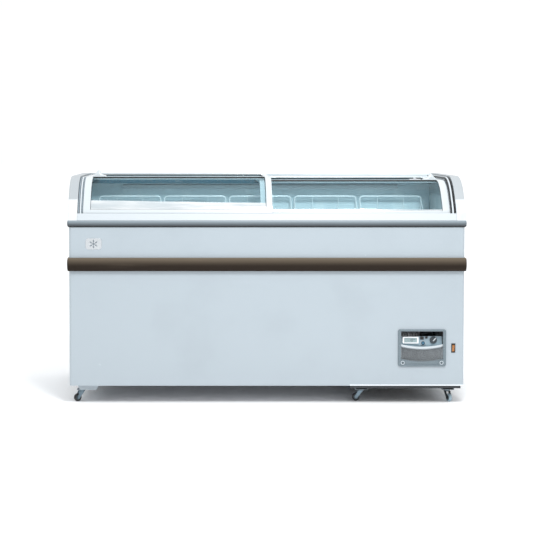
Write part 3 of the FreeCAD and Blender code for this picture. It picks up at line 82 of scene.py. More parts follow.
# %% Turn grids into a mesh
def ring_faces(grid, first, loop):
    """Quads between the rings of a grid, plus one face on each end ring unless the rings close.

    The enclosed volume is the sum of a·(b × c) over the triangles; if it is negative, every face
    is turned round, so that all of them point outwards.
    """
    rows, columns = grid.shape[:2]
    ring = np.arange(rows * columns).reshape(rows, columns)
    below = ring if loop else ring[:-1]
    above = np.roll(ring, -1, axis=0) if loop else ring[1:]
    corners = [below, np.roll(below, -1, axis=1), np.roll(above, -1, axis=1), above]
    quads = np.stack(corners, axis=-1).reshape(-1, 4)
    points = grid.reshape(-1, 3) - grid.reshape(-1, 3).mean(axis=0)
    a, b, c, d = (points[quads[:, corner]] for corner in range(4))
    volume = np.sum(a * np.cross(b, c)) + np.sum(a * np.cross(c, d))
    lids = [] if loop else [ring[0, ::-1], ring[-1]]
    for lid in lids:
        fan = points[lid]
        volume += np.sum(fan[0] * np.cross(fan[1:-1], fan[2:]))
    faces = quads.tolist() + [lid.tolist() for lid in lids]
    turn = 1 if volume > 0 else -1
    return [[first + corner for corner in face[::turn]] for face in faces]


def solid(name, grids, loops=(), sharp=40):
    """One object from several grids of rings; loops are the numbers of those that close on themselves."""
    points, faces = [], []
    for number, grid in enumerate(grids):
        first = sum(len(done) for done in points)
        faces += ring_faces(grid, first, number in loops)
        points.append(grid.reshape(-1, 3))
    mesh = bpy.data.meshes.new(name)
    mesh.from_pydata(np.vstack(points), [], faces)
    mesh.shade_smooth()
    mesh.set_sharp_from_angle(angle=math.radians(sharp))
    piece = bpy.data.objects.new(name, mesh)
    bpy.context.collection.objects.link(piece)
    return piece


print("a mesh is made from grids of rings, with its faces turned outwards")

# %% [markdown]
# ## Three ways to fill a grid
# *Carry* moves a profile along a path, which suits wires, seals and trims. *Lathe* turns an outline
# about an axis, which suits wheels, knobs and screws. *Pad* stacks rounded rectangles and draws the
# end ones in, which gives a block with soft edges. Each is one formula on whole arrays.


# %% Profiles and paths
def circle(radius, sides):
    """Points radius·(cos a, sin a) round a full turn."""
    turn = np.linspace(0, 2 * np.pi, sides, endpoint=False)
    return radius * np.stack([np.cos(turn), np.sin(turn)], axis=-1)


def oblong(width, height, radius, steps=4):
    """A rectangle with round corners: corner centre + radius·(cos a, sin a), a quarter turn each."""
    radius = min(radius, width / 2, height / 2)
    quarter = np.linspace(0, np.pi / 2, steps + 1)
    turn = (quarter + np.arange(4)[:, None] * np.pi / 2).ravel()
    reach = np.array([width / 2 - radius, height / 2 - radius])
    signs = np.repeat(np.array([(1, 1), (-1, 1), (-1, -1), (1, -1)]), steps + 1, axis=0)
    return signs * reach + radius * np.stack([np.cos(turn), np.sin(turn)], axis=-1)


def rounded(corners, radius, steps=4, loop=False):
    """A polyline whose corners are curves: (1-t)²·before + 2t(1-t)·corner + t²·after.

    Before and after lie one radius from the corner, or half way along a shorter side.
    """
    corners = np.asarray(corners, float)
    behind, ahead = np.roll(corners, 1, axis=0), np.roll(corners, -1, axis=0)
    middle = corners
    if not loop:
        behind, middle, ahead = corners[:-2], corners[1:-1], corners[2:]

    def toward(target):
        way = target - middle
        length = np.linalg.norm(way, axis=1, keepdims=True)
        return middle + way / length * np.minimum(radius, 0.49 * length)

    t = np.linspace(0, 1, steps + 1)[None, :, None]
    before, after = toward(behind)[:, None], toward(ahead)[:, None]
    bends = (1 - t) ** 2 * before + 2 * t * (1 - t) * middle[:, None] + t**2 * after
    path = bends.reshape(-1, 3)
    return path if loop else np.vstack([corners[:1], path, corners[-1:]])


print("a rounded rectangle has", len(oblong(2, 1, 0.1)), "points")


# %% The three makers
PAD_EDGE_RINGS, TIGHTEST_CORNER = 4, 0.2


def carry(profile, path, normal, loop=False):
    """A flat profile (u, v) carried along a path: path + u·normal + v·(tangent × normal)."""
    path = np.asarray(path, float)
    ahead, behind = np.roll(path, -1, axis=0), np.roll(path, 1, axis=0)
    if not loop:
        ahead[-1], behind[0] = path[-1], path[0]
    tangent = ahead - behind
    tangent /= np.linalg.norm(tangent, axis=1, keepdims=True)
    side = np.cross(tangent, normal)
    u, v = profile[:, 0, None], profile[:, 1, None]
    return path[:, None] + u * np.asarray(normal) + v * side[:, None]


def lathe(outline, centre, axis, sides=48, flutes=0, bite=0.0):
    """An outline (along, radius) turned about an axis.

    A point is centre + along·axis + radius·(cos a·u + sin a·v). With flutes, the radius is also
    multiplied by 1 + bite·cos(flutes·a).
    """
    outline, axis = np.asarray(outline, float), np.asarray(axis, float)
    axis = axis / np.linalg.norm(axis)
    u = np.cross(axis, Z if abs(axis[2]) < 0.9 else X)
    u /= np.linalg.norm(u)
    turn = np.linspace(0, 2 * np.pi, sides, endpoint=False)[:, None]
    spoke = np.cos(turn) * u + np.sin(turn) * np.cross(axis, u)
    spoke = spoke * (1 + bite * np.cos(flutes * turn))
    along, radius = outline[:, 0, None, None], outline[:, 1, None, None]
    return np.asarray(centre) + along * axis + radius * spoke


def pad(centre, width, height, depth, radius, edge, across=X, up=Z):
    """A block with soft edges: rings of a rounded rectangle.

    They lie at depths -d/2 + e(1 - sin a) and are drawn in by e(1 - cos a), for a from a quarter
    turn down to 0 at one end and back up at the other. Drawn corners keep a fifth of their radius.
    """
    quarter = np.linspace(np.pi / 2, 0, PAD_EDGE_RINGS)
    inset = edge * (1 - np.cos(quarter))
    place = -depth / 2 + edge * (1 - np.sin(quarter))
    inset, place = np.append(inset, inset[::-1]), np.append(place, -place[::-1])
    rings = []
    for drawn, level in zip(inset, place):
        corner = max(radius - drawn, radius * TIGHTEST_CORNER)
        ring = oblong(width - 2 * drawn, height - 2 * drawn, corner)
        out = np.cross(across, up) * level
        rings.append(np.asarray(centre) + ring[:, :1] * across + ring[:, 1:] * up + out)
    return np.array(rings)


print("makers: carry, lathe, pad; a pad has", pad((0, 0, 0), 1, 1, 1, 0.1, 0.1).shape[0], "rings")

# %% [markdown]
# ## Finishes as sums
# A finish is a node tree. Long trees are hard to read when every node takes four lines, so a socket is
# wrapped in a small class that knows +, - and *: an expression adds the Math nodes. What is
# the same all over a surface is set on the shader itself; only what varies is worked out by nodes.


# %% The socket class
class Wire:
    """A socket that can be added, subtracted and multiplied."""

    def __init__(self, finish, socket):
        self.finish, self.socket = finish, socket

    def sum(self, operation, first, second):
        return self.finish.node("Math", {"operation": operation}, {0: first, 1: second})

    def __add__(self, other):
        return self.sum("ADD", self, other)

    def __radd__(self, other):
        return self.sum("ADD", other, self)

    def __sub__(self, other):
        return self.sum("SUBTRACT", self, other)

    def __rsub__(self, other):
        return self.sum("SUBTRACT", other, self)

    def __mul__(self, other):
        return self.sum("MULTIPLY", self, other)

    def __rmul__(self, other):
        return self.sum("MULTIPLY", other, self)


print("1 - wire adds a Math node set to SUBTRACT")


# %% The finish class
# A Mix node has sockets of every type under one name, so its colour sockets go by number.
MIX_FACTOR, MIX_FIRST, MIX_SECOND, MIX_COLOUR = 0, 6, 7, 2


class Finish:
    """A material with one Principled shader and the textures that vary it over the surface."""

    def __init__(self, name, colour, **fixed):
        self.material = bpy.data.materials.new(name)
        self.material.use_nodes = True
        self.tree = self.material.node_tree
        self.shader = self.tree.nodes["Principled BSDF"]
        self.shader.inputs["Base Color"].default_value = (*colour, 1)
        for socket, value in fixed.items():
            self.shader.inputs[socket.replace("_", " ")].default_value = value

    def node(self, kind, settings, sockets, out=0):
        """Adds any node: its settings first, then a value or a wire on each named socket."""
        made = self.tree.nodes.new("ShaderNode" + kind)
        for setting, value in settings.items():
            setattr(made, setting, value)
        for socket, value in sockets.items():
            if isinstance(value, Wire):
                self.tree.links.new(value.socket, made.inputs[socket])
            else:
                made.inputs[socket].default_value = value
        return Wire(self, made.outputs[out])

    def feed(self, socket, wire):
        self.tree.links.new(wire.socket, self.shader.inputs[socket])

    def place(self, stretch=(1, 1, 1)):
        """Object coordinates in metres, stretched along each axis."""
        here = self.node("TexCoord", {}, {}, "Object")
        return self.node("Mapping", {}, {"Vector": here, "Scale": stretch})

    def axis(self, letter):
        """One coordinate of the object, in metres."""
        return self.node("SeparateXYZ", {}, {"Vector": self.place()}, letter)

    def noise(self, scale, detail=2.0, stretch=(1, 1, 1)):
        """Cloudy noise from 0 to 1 with this many waves per metre."""
        sockets = {"Vector": self.place(stretch), "Scale": scale, "Detail": detail}
        return self.node("TexNoise", {}, sockets)

    def step(self, value, low, high):
        """0 below low, 1 above high, with a smooth rise between."""
        sockets = {"Value": value, "From Min": low, "From Max": high}
        return self.node("MapRange", {"interpolation_type": "SMOOTHSTEP"}, sockets)

    def mix(self, factor, first, second):
        """A colour between two others."""
        first = first if isinstance(first, Wire) else (*first, 1)
        second = second if isinstance(second, Wire) else (*second, 1)
        sockets = {MIX_FACTOR: factor, MIX_FIRST: first, MIX_SECOND: second}
        return self.node("Mix", {"data_type": "RGBA"}, sockets, MIX_COLOUR)

    def relief(self, height, distance, strength=1.0):
        """Bumps of this height, in metres, on the surface."""
        sockets = {"Height": height, "Distance": distance, "Strength": strength}
        self.feed("Normal", self.node("Bump", {}, sockets))
        return self


print("a finish starts as one shader, and its textures are added one at a time")


# %% Colours
def tone(red, green, blue):
    """A colour from a 0 to 255 chart as linear light."""
    chart = np.array([red, green, blue]) / 255
    return tuple(np.where(chart < 0.04045, chart / 12.92, ((chart + 0.055) / 1.055) ** 2.4).tolist())


def darker(colour, share):
    """The same colour with this share of its light."""
    return tuple(share * part for part in colour)


print("half way up the chart is", round(tone(128, 128, 128)[0], 3), "in linear light")

# %% [markdown]
# ## Families of finishes
# Most of a freezer is one of three things: moulded plastic, painted sheet or wire, and bare metal. A
# family function holds what its members share, and its arguments hold what differs. Grain sizes are
# true: paint has orange peel about a millimetre across, brushed metal has hair-fine lines.


# %% Moulded plastic, painted metal and bare metal
def plastic(name, colour, rough=0.35, grain=0.00004, cloud=0.06, **fixed):
    """Moulded plastic: fine spark-eroded grain, slightly cloudy colour, uneven gloss."""
    finish = Finish(name, colour, IOR=1.49, **fixed)
    cloudy = finish.noise(9, 4)
    finish.feed("Base Color", finish.mix(cloudy, darker(colour, 1 - cloud), colour))
    finish.feed("Roughness", rough + 0.12 * (finish.noise(35, 3) - 0.5))
    return finish.relief(finish.noise(1500, 2), grain)


def paint(name, colour, rough=0.25, peel=0.00003, wave=0.0, soil=0.05):
    """Sprayed paint on sheet: orange peel, the slow waves of the sheet and a little soil in patches."""
    finish = Finish(name, colour, Coat_Weight=0.35, Coat_Roughness=0.08)
    patches = finish.step(finish.noise(5, 6), 0.45, 0.8)
    finish.feed("Base Color", finish.mix(patches, colour, darker(colour, 1 - soil)))
    finish.feed("Roughness", rough + 0.1 * (finish.noise(22, 4) - 0.5))
    height = finish.noise(700, 1) * peel
    if wave:
        height = height + finish.noise(1, 1, (1.1, 1, 3.4)) * wave
    return finish.relief(height, 1.0)


def metal(name, colour, rough=0.3, brush=(1, 1, 1), lines=400, marks=0.1):
    """Bare metal: lines drawn out along the axis whose stretch is small, and dull patches."""
    finish = Finish(name, colour, Metallic=1.0)
    hair = finish.noise(lines, 3, brush)
    dull = finish.step(finish.noise(18, 5), 0.4, 0.75)
    finish.feed("Base Color", finish.mix(dull, colour, darker(colour, 1 - marks)))
    finish.feed("Roughness", rough + 0.15 * hair + 0.1 * dull - 0.08)
    return finish.relief(hair, 0.00002)


print("families: plastic, paint, metal")

# %% [markdown]
# ## The body paint and the liner
# The wrap of the cabinet is one long painted sheet. A perfectly flat sheet looks like card, so it gets
# the slow, barely visible waves that foaming leaves in it. The tank is sheet with a stucco emboss,
# which hides scratches: lumps a few millimetres across, made with the cells of a Voronoi texture.

# %% Body paint, galvanised sheet, embossed liner, foam
body_paint = paint("body_paint", tone(156, 166, 173), wave=0.006)


def galvanised_sheet():
    """Zinc-dipped sheet: each crystal has a tone of its own."""
    finish = Finish("galvanised_sheet", (0.55, 0.57, 0.6), Metallic=0.9)
    crystal = finish.node("TexVoronoi", {}, {"Vector": finish.place(), "Scale": 90.0}, "Color")
    share = finish.node("SeparateColor", {}, {"Color": crystal}, "Red")
    finish.feed("Base Color", finish.mix(share, (0.44, 0.46, 0.49), (0.66, 0.68, 0.71)))
    finish.feed("Roughness", 0.32 + 0.2 * share)
    return finish.relief(finish.noise(300, 2), 0.00005)


def embossed_liner():
    """Stucco-embossed painted sheet, pale with a blue cast."""
    colour = tone(222, 232, 236)
    finish = Finish("embossed_liner", colour, Coat_Weight=0.2)
    lumps = finish.node("TexVoronoi", {"feature": "SMOOTH_F1"},
                        {"Vector": finish.place(), "Scale": 240.0})
    frost = finish.step(finish.noise(14, 6), 0.5, 0.72)
    finish.feed("Base Color", finish.mix(frost, colour, tone(236, 242, 244)))
    finish.feed("Roughness", 0.34 + 0.2 * frost)
    return finish.relief(lumps, 0.0006, 0.6)


def foam_block():
    """Poured polyurethane: buff, with open cells and darker pores."""
    finish = Finish("foam_block", (0.7, 0.58, 0.33), Roughness=0.9)
    cells = finish.node("TexVoronoi", {}, {"Vector": finish.place(), "Scale": 500.0})
    finish.feed("Base Color", finish.mix(cells, (0.74, 0.62, 0.37), (0.55, 0.43, 0.22)))
    return finish.relief(cells, 0.0008)


print(body_paint.material.name, "has", len(body_paint.tree.nodes), "nodes")

# %% [markdown]
# ## Tinted glass
# The curved glass could be a glass shader, but four millimetres of clear glass hardly bend light, and
# real refraction makes a noisy picture. Instead a see-through tint and a glossy shader share the
# surface: a Layer Weight lets the gloss grow towards grazing angles, as on real glass. The
# low part of each lid still wears its milky packing film, which ends in a slightly wavy edge.


# %% Lid glass
def lid_glass(name, film_top, fall, wave):
    """Tinted see-through glass with a milky film below a height, which falls to the right and wanders."""
    finish = Finish(name, tone(236, 244, 247), Roughness=0.06, Coat_Weight=0.5)
    edge = film_top - fall * finish.axis("X") + wave * (finish.noise(1, 3, (4, 0.3, 0.3)) - 0.5)
    film = 1 - finish.step(finish.axis("Z") - edge, -0.003, 0.0025)
    streaks = finish.step(finish.noise(1, 5, (6, 2, 60)), 0.3, 0.62)
    specks = finish.step(finish.noise(60, 4), 0.6, 0.75) * 0.05
    finish.feed("Base Color", finish.mix(streaks, tone(174, 181, 185), tone(192, 195, 197)))
    edge_on = finish.node("LayerWeight", {}, {"Blend": 0.22}, "Fresnel")
    share = film * (0.82 + 0.15 * streaks) + (1 - film) * (0.005 + 0.05 * edge_on + specks)
    tint = finish.node("BsdfTransparent", {}, {"Color": (*tone(241, 249, 251), 1)})
    gloss = Wire(finish, finish.shader.outputs[0])
    shown = finish.node("MixShader", {}, {0: share, 1: tint, 2: gloss})
    finish.tree.links.new(shown.socket, finish.tree.nodes["Material Output"].inputs["Surface"])
    return finish


LEFT_FILM, RIGHT_FILM, FILM_WAVE = 39 * MM, 14 * MM, 6 * MM
rail_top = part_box("front_rail")[1].z
left_glass = lid_glass("lid_glass", rail_top + LEFT_FILM, 0.014, FILM_WAVE)
right_glass = lid_glass("right_lid_glass", rail_top + RIGHT_FILM, 0.002, FILM_WAVE)
print("film ends", round(LEFT_FILM / MM), "and", round(RIGHT_FILM / MM), "mm above the rail")

# %% [markdown]
# ## Finishes that change from place to place
# Some mouldings don't look the same all over. The bezel is silver outside, and its tub is painted near
# black as shade. The trim and the bumper have long drawn lines from the extruder, and both are painted
# darker towards the lower edge as shade from the light above; the bumper has random scuffs too. The
# end caps still wear packing film up to a level cut, and the bare moulding above it is painted grey as
# shade. A coordinate picks the place, and noise breaks the line.


# %% Bezel and trim
def silver_bezel(front):
    """Silver paint with fine flakes on the frame; behind the front face the tub is painted near black as
    shade.
    """
    finish = Finish("silver_bezel", (0.4, 0.43, 0.45), Metallic=0.55)
    flakes = finish.node("TexVoronoi", {}, {"Vector": finish.place(), "Scale": 1800.0}, "Color")
    flake = finish.node("SeparateColor", {}, {"Color": flakes}, "Red")
    # Painted shade: the tub is the same moulding, near black where it lies in shade.
    inside = finish.step(finish.axis("Y"), front + 4 * MM, front + 9 * MM)
    silver = finish.mix(flake, tone(92, 104, 110), tone(126, 138, 145))
    finish.feed("Base Color", finish.mix(inside, silver, (0.012, 0.014, 0.016)))
    finish.feed("Roughness", 0.34 + 0.1 * flake)
    return finish


def grey_extrusion(low, high):
    """Grey aluminium extrusion: satin, with drawn lines; painted darker towards its lower edge as shade."""
    finish = Finish("trim_grey", tone(118, 134, 143))
    drawn = finish.noise(500, 2, (0.01, 1, 1))
    # Painted shade: near black at the lower edge, grey above, as the light falls from above.
    painted_lit_share = finish.step(finish.axis("Z") + 4 * MM * drawn, low, high + 6 * MM)
    finish.feed("Base Color", finish.mix(painted_lit_share, tone(22, 26, 30), tone(126, 138, 146)))
    finish.feed("Roughness", 0.4 + 0.15 * drawn)
    return finish.relief(drawn, 0.00003)


print("the bezel follows Y, the trim follows Z")


# %% Bumper and end caps
def bumper_vinyl(low, high):
    """Brown vinyl extrusion: long faint lines and random scuffs along it, painted paler towards its upper
    edge as light from above.
    """
    finish = Finish("bumper_vinyl", (0.05, 0.032, 0.018), Specular_IOR_Level=0.18)
    drawn = finish.noise(350, 3, (0.01, 1, 1))
    scuffs = finish.step(finish.noise(1, 5, (3, 40, 40)), 0.6, 0.8)
    # Painted light: paler where the face looks up.
    painted_upper_light = finish.step(finish.axis("Z"), 0.7 * low + 0.3 * high, high)
    dark, pale = tone(30, 21, 13), tone(96, 86, 73)
    finish.feed("Base Color", finish.mix(painted_upper_light * (0.75 + 0.4 * drawn) + scuffs * 0.12, dark, pale))
    finish.feed("Roughness", 0.5 + 0.2 * drawn)
    return finish.relief(drawn, 0.00012)


def wrapped_plastic(film_top):
    """Bare white moulding above, painted grey as shade; below a level cut it still wears its creased white
    packing film.
    """
    # Painted shade: the bare colour is greyer than the other white mouldings.
    bare = tone(152, 158, 162)
    finish = Finish("wrapped_plastic", bare, IOR=1.49)
    ragged = finish.axis("Z") + 5 * MM * finish.noise(9, 2)
    film = 1 - finish.step(ragged, film_top, film_top + 3 * MM)
    creases = finish.step(finish.noise(1, 4, (16, 16, 5)), 0.3, 0.62)
    sheet = finish.mix(creases, tone(176, 183, 187), tone(193, 197, 199))
    finish.feed("Base Color", finish.mix(film, bare, sheet))
    finish.feed("Roughness", 0.42 - 0.2 * film)
    return finish.relief(film * creases, 0.0006)


print("the bumper and the end caps follow Z")


# %% Lamp cover and rubber
def ribbed_lamp():
    """Milky lamp cover with fine ribs across its length."""
    finish = Finish("ribbed_lamp", (0.7, 0.74, 0.77), Roughness=0.25, Transmission_Weight=0.15)
    ribs = finish.node("TexWave", {}, {"Vector": finish.place(), "Scale": 60.0}, 1)
    finish.feed("Base Color", finish.mix(ribs, (0.66, 0.7, 0.73), (0.76, 0.8, 0.83)))
    return finish.relief(ribs, 0.0006)


def rubber(name, colour):
    """Matt rubber: dusty in the hollows, with fine bloom."""
    finish = Finish(name, colour, Specular_IOR_Level=0.3)
    dust = finish.step(finish.noise(120, 5), 0.5, 0.8)
    finish.feed("Base Color", finish.mix(dust * 0.5, colour, (0.16, 0.16, 0.155)))
    finish.feed("Roughness", 0.55 + 0.25 * dust)
    return finish.relief(finish.noise(900, 3), 0.00008)


# Black rubber for real seals, also used as painted shade in screw slots, bezel sockets and the trim joint.
seal_black = rubber("seal_black", (0.012, 0.014, 0.016))
print(seal_black.material.name, "has", len(seal_black.tree.nodes), "nodes")

# %% [markdown]
# ## Every slot gets its finish
# The working model names a slot for each of its pieces, such as zinc or glass. A table from slot to
# finish keeps the choice in one place. The knob, lamps, screws and seals are small, but a wrong gloss
# on any of them spoils the panel, so each has a colour and a grain of its own.

# %% All finishes by slot
bumper_low, bumper_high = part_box("bumper_strip")
panel_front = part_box("outer_shell")[0].y
CAP_FILM_DROP = 88 * MM
grained = {"rough": 0.42, "grain": 0.00008}
FINISHES = {
    "painted_steel": body_paint,
    "galvanised_steel": galvanised_sheet(),
    "foam": foam_block(),
    "liner": embossed_liner(),
    "grey_trim": grey_extrusion(*(corner.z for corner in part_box("rim_trim"))),
    "brown_bumper": bumper_vinyl(bumper_low.z, bumper_high.z + 6 * MM),
    "white_plastic": plastic("moulded_white", tone(178, 185, 190), 0.34, 0.00005, 0.05),
    "rail_grey": metal("drawn_rail", tone(206, 216, 221), 0.3, (0.01, 1, 1)),
    "lamp": ribbed_lamp(),
    "badge_metal": metal("brushed_badge", tone(206, 210, 213), 0.25, (0.02, 1, 1), 900),
    "lid_white": plastic("lid_white", tone(180, 187, 191), 0.24, 0.00003, 0.03, Coat_Weight=0.3),
    "glass": left_glass,
    "lock_metal": metal("lock_plate", tone(222, 226, 229), 0.18, (0.03, 1, 1), 700),
    "silver_plastic": silver_bezel(panel_front),
    "fascia_grey": plastic("fascia_grey", tone(143, 164, 175), 0.3, 0.00004, 0.1),
    "grille_grey": paint("grille_powder", tone(146, 152, 156), 0.5, 0.00008, soil=0.3),
    "display": plastic("display_case", tone(240, 242, 243), 0.22, 0.00002, 0.03, Coat_Weight=0.4),
    "black_plastic": plastic("black_plastic", (0.012, 0.012, 0.013), **grained),
    "knob_grey": plastic("knob_dark", tone(58, 66, 72), 0.36, 0.00006, 0.2),
    "button_blue": plastic("button_blue", tone(16, 84, 112), 0.14, 0.00001, 0.25, Coat_Weight=0.8),
    "rocker_amber": plastic("rocker_amber", tone(154, 92, 6), 0.16, 0.00001, 0.2, Coat_Weight=0.8),
    "dark_steel": paint("tray_paint", tone(26, 32, 37), 0.5, 0.00006, soil=0.35),
    "zinc": metal("zinc_plate", tone(118, 134, 144), 0.3, (1, 1, 1), 250, 0.3),
    "wheel_black": rubber("wheel_rubber", (0.02, 0.02, 0.021)),
    "compressor_black": paint("compressor_paint", (0.01, 0.01, 0.011), 0.35, 0.00008, soil=0.3),
    "copper": metal("copper_tube", (0.68, 0.32, 0.19), 0.25, (1, 1, 1), 300, 0.45),
    "basket_wire": paint("basket_coat", tone(251, 252, 253), 0.28, 0.00004, soil=0.04),
}
slot_of = {part["node"]: part["material_slot"] for part in frame["record"]["subparts"]}
for node, held in frame["nodes"].items():
    held.data.materials.clear()
    held.data.materials.append(FINISHES[slot_of[node]].material)
cap_finish = wrapped_plastic(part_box("left_end_cap")[1].z - CAP_FILM_DROP)
OWN_FINISHES = {
    "right_lid_glass": right_glass, "left_end_cap": cap_finish, "right_end_cap": cap_finish,
}
for node, finish in OWN_FINISHES.items():
    frame["nodes"][node].data.materials[0] = finish.material
print(len(FINISHES), "slots on", len(slot_of), "nodes;", len(OWN_FINISHES), "nodes differ from their slot")

# %% [markdown]
# ## Softened edges
# A real moulding has no sharp edge: a thin line of light runs along every one. The working model's
# solids are sharp, so visible ones get a stand-in: the same mesh with its loose triangles merged and
# its flat faces joined, and a small Bevel on every edge that turns by more than 34 degrees. Size and
# place stay as they are.


# %% Put a piece in its place
def settle(piece, body, slot, finish=None, stands_for=()):
    """Gives a piece its finish, picked by its slot unless one is given, the body it rides on and the nodes
    it stands for.
    """
    piece.data.materials.clear()
    piece.data.materials.append((finish or FINISHES[slot]).material)
    if stands_for:
        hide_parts(*stands_for)
    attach(piece, body)
    return piece


def body_of(node):
    """The moving body that a node of the working model belongs to."""
    return frame["nodes"][node].parent.name.removeprefix("body:")


print("the rocker rides on", body_of("rocker"))

# %% Stand-ins with soft edges
MERGE_DISTANCE, FLAT_ANGLE, EDGE_ANGLE = 0.01 * MM, math.radians(0.6), math.radians(34)


def soften(node, width, finish=None):
    """A copy of a node with merged corners, joined flats and soft edges."""
    mesh = frame["nodes"][node].data.copy()
    work = bmesh.new()
    work.from_mesh(mesh)
    bmesh.ops.remove_doubles(work, verts=work.verts, dist=MERGE_DISTANCE)
    bmesh.ops.dissolve_limit(work, angle_limit=FLAT_ANGLE, verts=work.verts, edges=work.edges)
    work.to_mesh(mesh)
    work.free()
    mesh.shade_smooth()
    mesh.set_sharp_from_angle(angle=EDGE_ANGLE)
    piece = bpy.data.objects.new(node + "_finished", mesh)
    bpy.context.collection.objects.link(piece)
    edge = piece.modifiers.new("soft_edges", "BEVEL")
    edge.limit_method, edge.angle_limit = "ANGLE", EDGE_ANGLE
    edge.width, edge.segments, edge.harden_normals = width, 3, True
    return settle(piece, body_of(node), slot_of[node], finish, (node,))


# The width of each soft edge, in millimetres.
SOFT_EDGES = {
    "left_lid_frame": 1.2, "right_lid_frame": 1.2, "side_channels": 0.8, "front_rail": 1.5,
    "rear_rail": 1.0, "rim_trim": 1.0, "right_lid_lock": 0.5, "badge_plate": 0.4,
    "control_fascia": 0.5, "indicator_lamps": 0.8, "switch_housing": 0.3, "rocker": 0.8,
    "compressor_tray": 0.5, "caster_rails": 0.5, "caster_plates": 0.5, "lamp_cover": 0.5,
    "cable_gland": 0.8, "fan_motor": 1.0, "bumper_strip": 2.0,
}
for node, width in SOFT_EDGES.items():
    soften(node, width * MM)
CORNERS = ("front_left", "front_middle", "front_right", "rear_left", "rear_middle", "rear_right")
# The fork at the front right is painted dark as shade, unlike the others.
for corner in CORNERS:
    soften(corner + "_fork", 0.5 * MM, FINISHES["dark_steel"] if corner == "front_right" else None)
print(len(SOFT_EDGES) + len(CORNERS), "nodes with soft edges")

# %% [markdown]
# ## The roof line
# End caps, channels and lids share one curve: it climbs steeply from the rail, bends over in two arcs
# and runs flat to the rear. Its angle is easy to state, so the points are found by adding up the
# cosine and sine of that angle in small steps. A depth moves a point inwards at right angles.

# %% The roof line as a function
FRONT_ANGLE, SLOPE_ANGLE = math.radians(72), math.radians(52)
LOW_RADIUS, HIGH_RADIUS, RAIL_RISE = 150 * MM, 160 * MM, 28 * MM
LINE_LENGTH, LINE_STEP = 1.0, 0.25 * MM
cap_low, cap_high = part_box("left_end_cap")
rail_run = RAIL_RISE / math.sin(FRONT_ANGLE)
low_rise = LOW_RADIUS * (math.cos(SLOPE_ANGLE) - math.cos(FRONT_ANGLE))
high_rise = HIGH_RADIUS * (1 - math.cos(SLOPE_ANGLE))
slope_run = (cap_high.z - cap_low.z - RAIL_RISE - low_rise - high_rise) / math.sin(SLOPE_ANGLE)
arcs = [LOW_RADIUS * (FRONT_ANGLE - SLOPE_ANGLE), HIGH_RADIUS * SLOPE_ANGLE]
KNOTS = np.cumsum([0, rail_run, arcs[0], slope_run, arcs[1]])
FLAT_START = KNOTS[-1]
TRAVEL = np.linspace(0, LINE_LENGTH, round(LINE_LENGTH / LINE_STEP) + 1)
TRAVEL_ANGLE = np.interp(TRAVEL, KNOTS, [FRONT_ANGLE, FRONT_ANGLE, SLOPE_ANGLE, SLOPE_ANGLE, 0])


def running_sum(values):
    """The area under values over the travel, by trapezia."""
    return np.append(0, np.cumsum((values[1:] + values[:-1]) / 2)) * (TRAVEL[1] - TRAVEL[0])


TRAVEL_Y = cap_low.y + running_sum(np.cos(TRAVEL_ANGLE))
TRAVEL_Z = cap_low.z + running_sum(np.sin(TRAVEL_ANGLE))


def roof(x, along, depth):
    """Points at a length along the roof line and a depth under it: line + depth·(sin a, -cos a)."""
    x, along, depth = np.broadcast_arrays(x, along, depth)
    angle = np.interp(along, TRAVEL, TRAVEL_ANGLE)
    y = np.interp(along, TRAVEL, TRAVEL_Y) + depth * np.sin(angle)
    z = np.interp(along, TRAVEL, TRAVEL_Z) - depth * np.cos(angle)
    return np.stack([x, y, z], axis=-1)


flat_y, roof_top = roof(0, FLAT_START, 0)[1:]
print("flat starts", round(FLAT_START / MM, 1), "mm along, at height", round(roof_top, 4))

# %% [markdown]
# ## Seals round the lid windows
# Each lid is a white frame with one curved glass, and a bar at the bend parts it into a front and a
# rear window. A black seal sits in the corner between frame and glass. The bead under each top bar is
# made thick, so that it is also painted shadow: from the front it draws the dark line under the bar. A
# seal is a round bead, half sunk in the glass: straight ones run along X, and those at the sides follow
# the roof line.

# %% Lid seals
LOW_BAR, TOP_BAR_LEAD, TOP_BAR, REAR_BAR = 15 * MM, 4 * MM, 26 * MM, 24 * MM
SIDE_BAR, CENTRE_BAR, LID_LIFT, SIDE_BEAD = 28 * MM, 24 * MM, 1 * MM, 1.3 * MM
LID_DEPTH = {"left_lid": 3 * MM, "right_lid": 16 * MM}
PANE_SUNK = 3.6 * MM
window_start = rail_run + LID_LIFT + LOW_BAR
window_end = FLAT_START - TOP_BAR_LEAD


def window_sides(lid):
    """Left and right edge of the lid's window."""
    low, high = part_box(lid + "_frame")
    left, right = (SIDE_BAR, CENTRE_BAR) if lid == "left_lid" else (CENTRE_BAR, SIDE_BAR)
    return low.x + left, high.x - right


def lid_seal(lid):
    """Black beads round both windows of one lid."""
    pane_depth = LID_DEPTH[lid] + PANE_SUNK
    left, right = window_sides(lid)
    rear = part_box(lid + "_frame")[1].y - REAR_BAR
    rear_along = FLAT_START + rear - flat_y
    top_start = window_end + TOP_BAR
    beads = []
    # The bead at window_end is thicker than a seal needs: it is also painted shadow under the top bar.
    straight = {window_start: 1.4 * MM, window_end: 3.2 * MM, top_start: 1.6 * MM, rear_along: 1.6 * MM}
    for along, thick in straight.items():
        ends = roof(np.array([left, right]), along, pane_depth)
        beads.append(carry(circle(thick, 10), ends, Z))
    for x in (left, right):
        for first, last in ((window_start, window_end), (top_start, rear_along)):
            path = roof(x, np.linspace(first, last, 28), pane_depth)
            beads.append(carry(circle(SIDE_BEAD, 8), path, X))
    return settle(solid(lid + "_seal", beads), lid, "black_plastic", seal_black)


for lid in LID_DEPTH:
    made = lid_seal(lid)
    print(made.name, len(made.data.polygons), "faces")

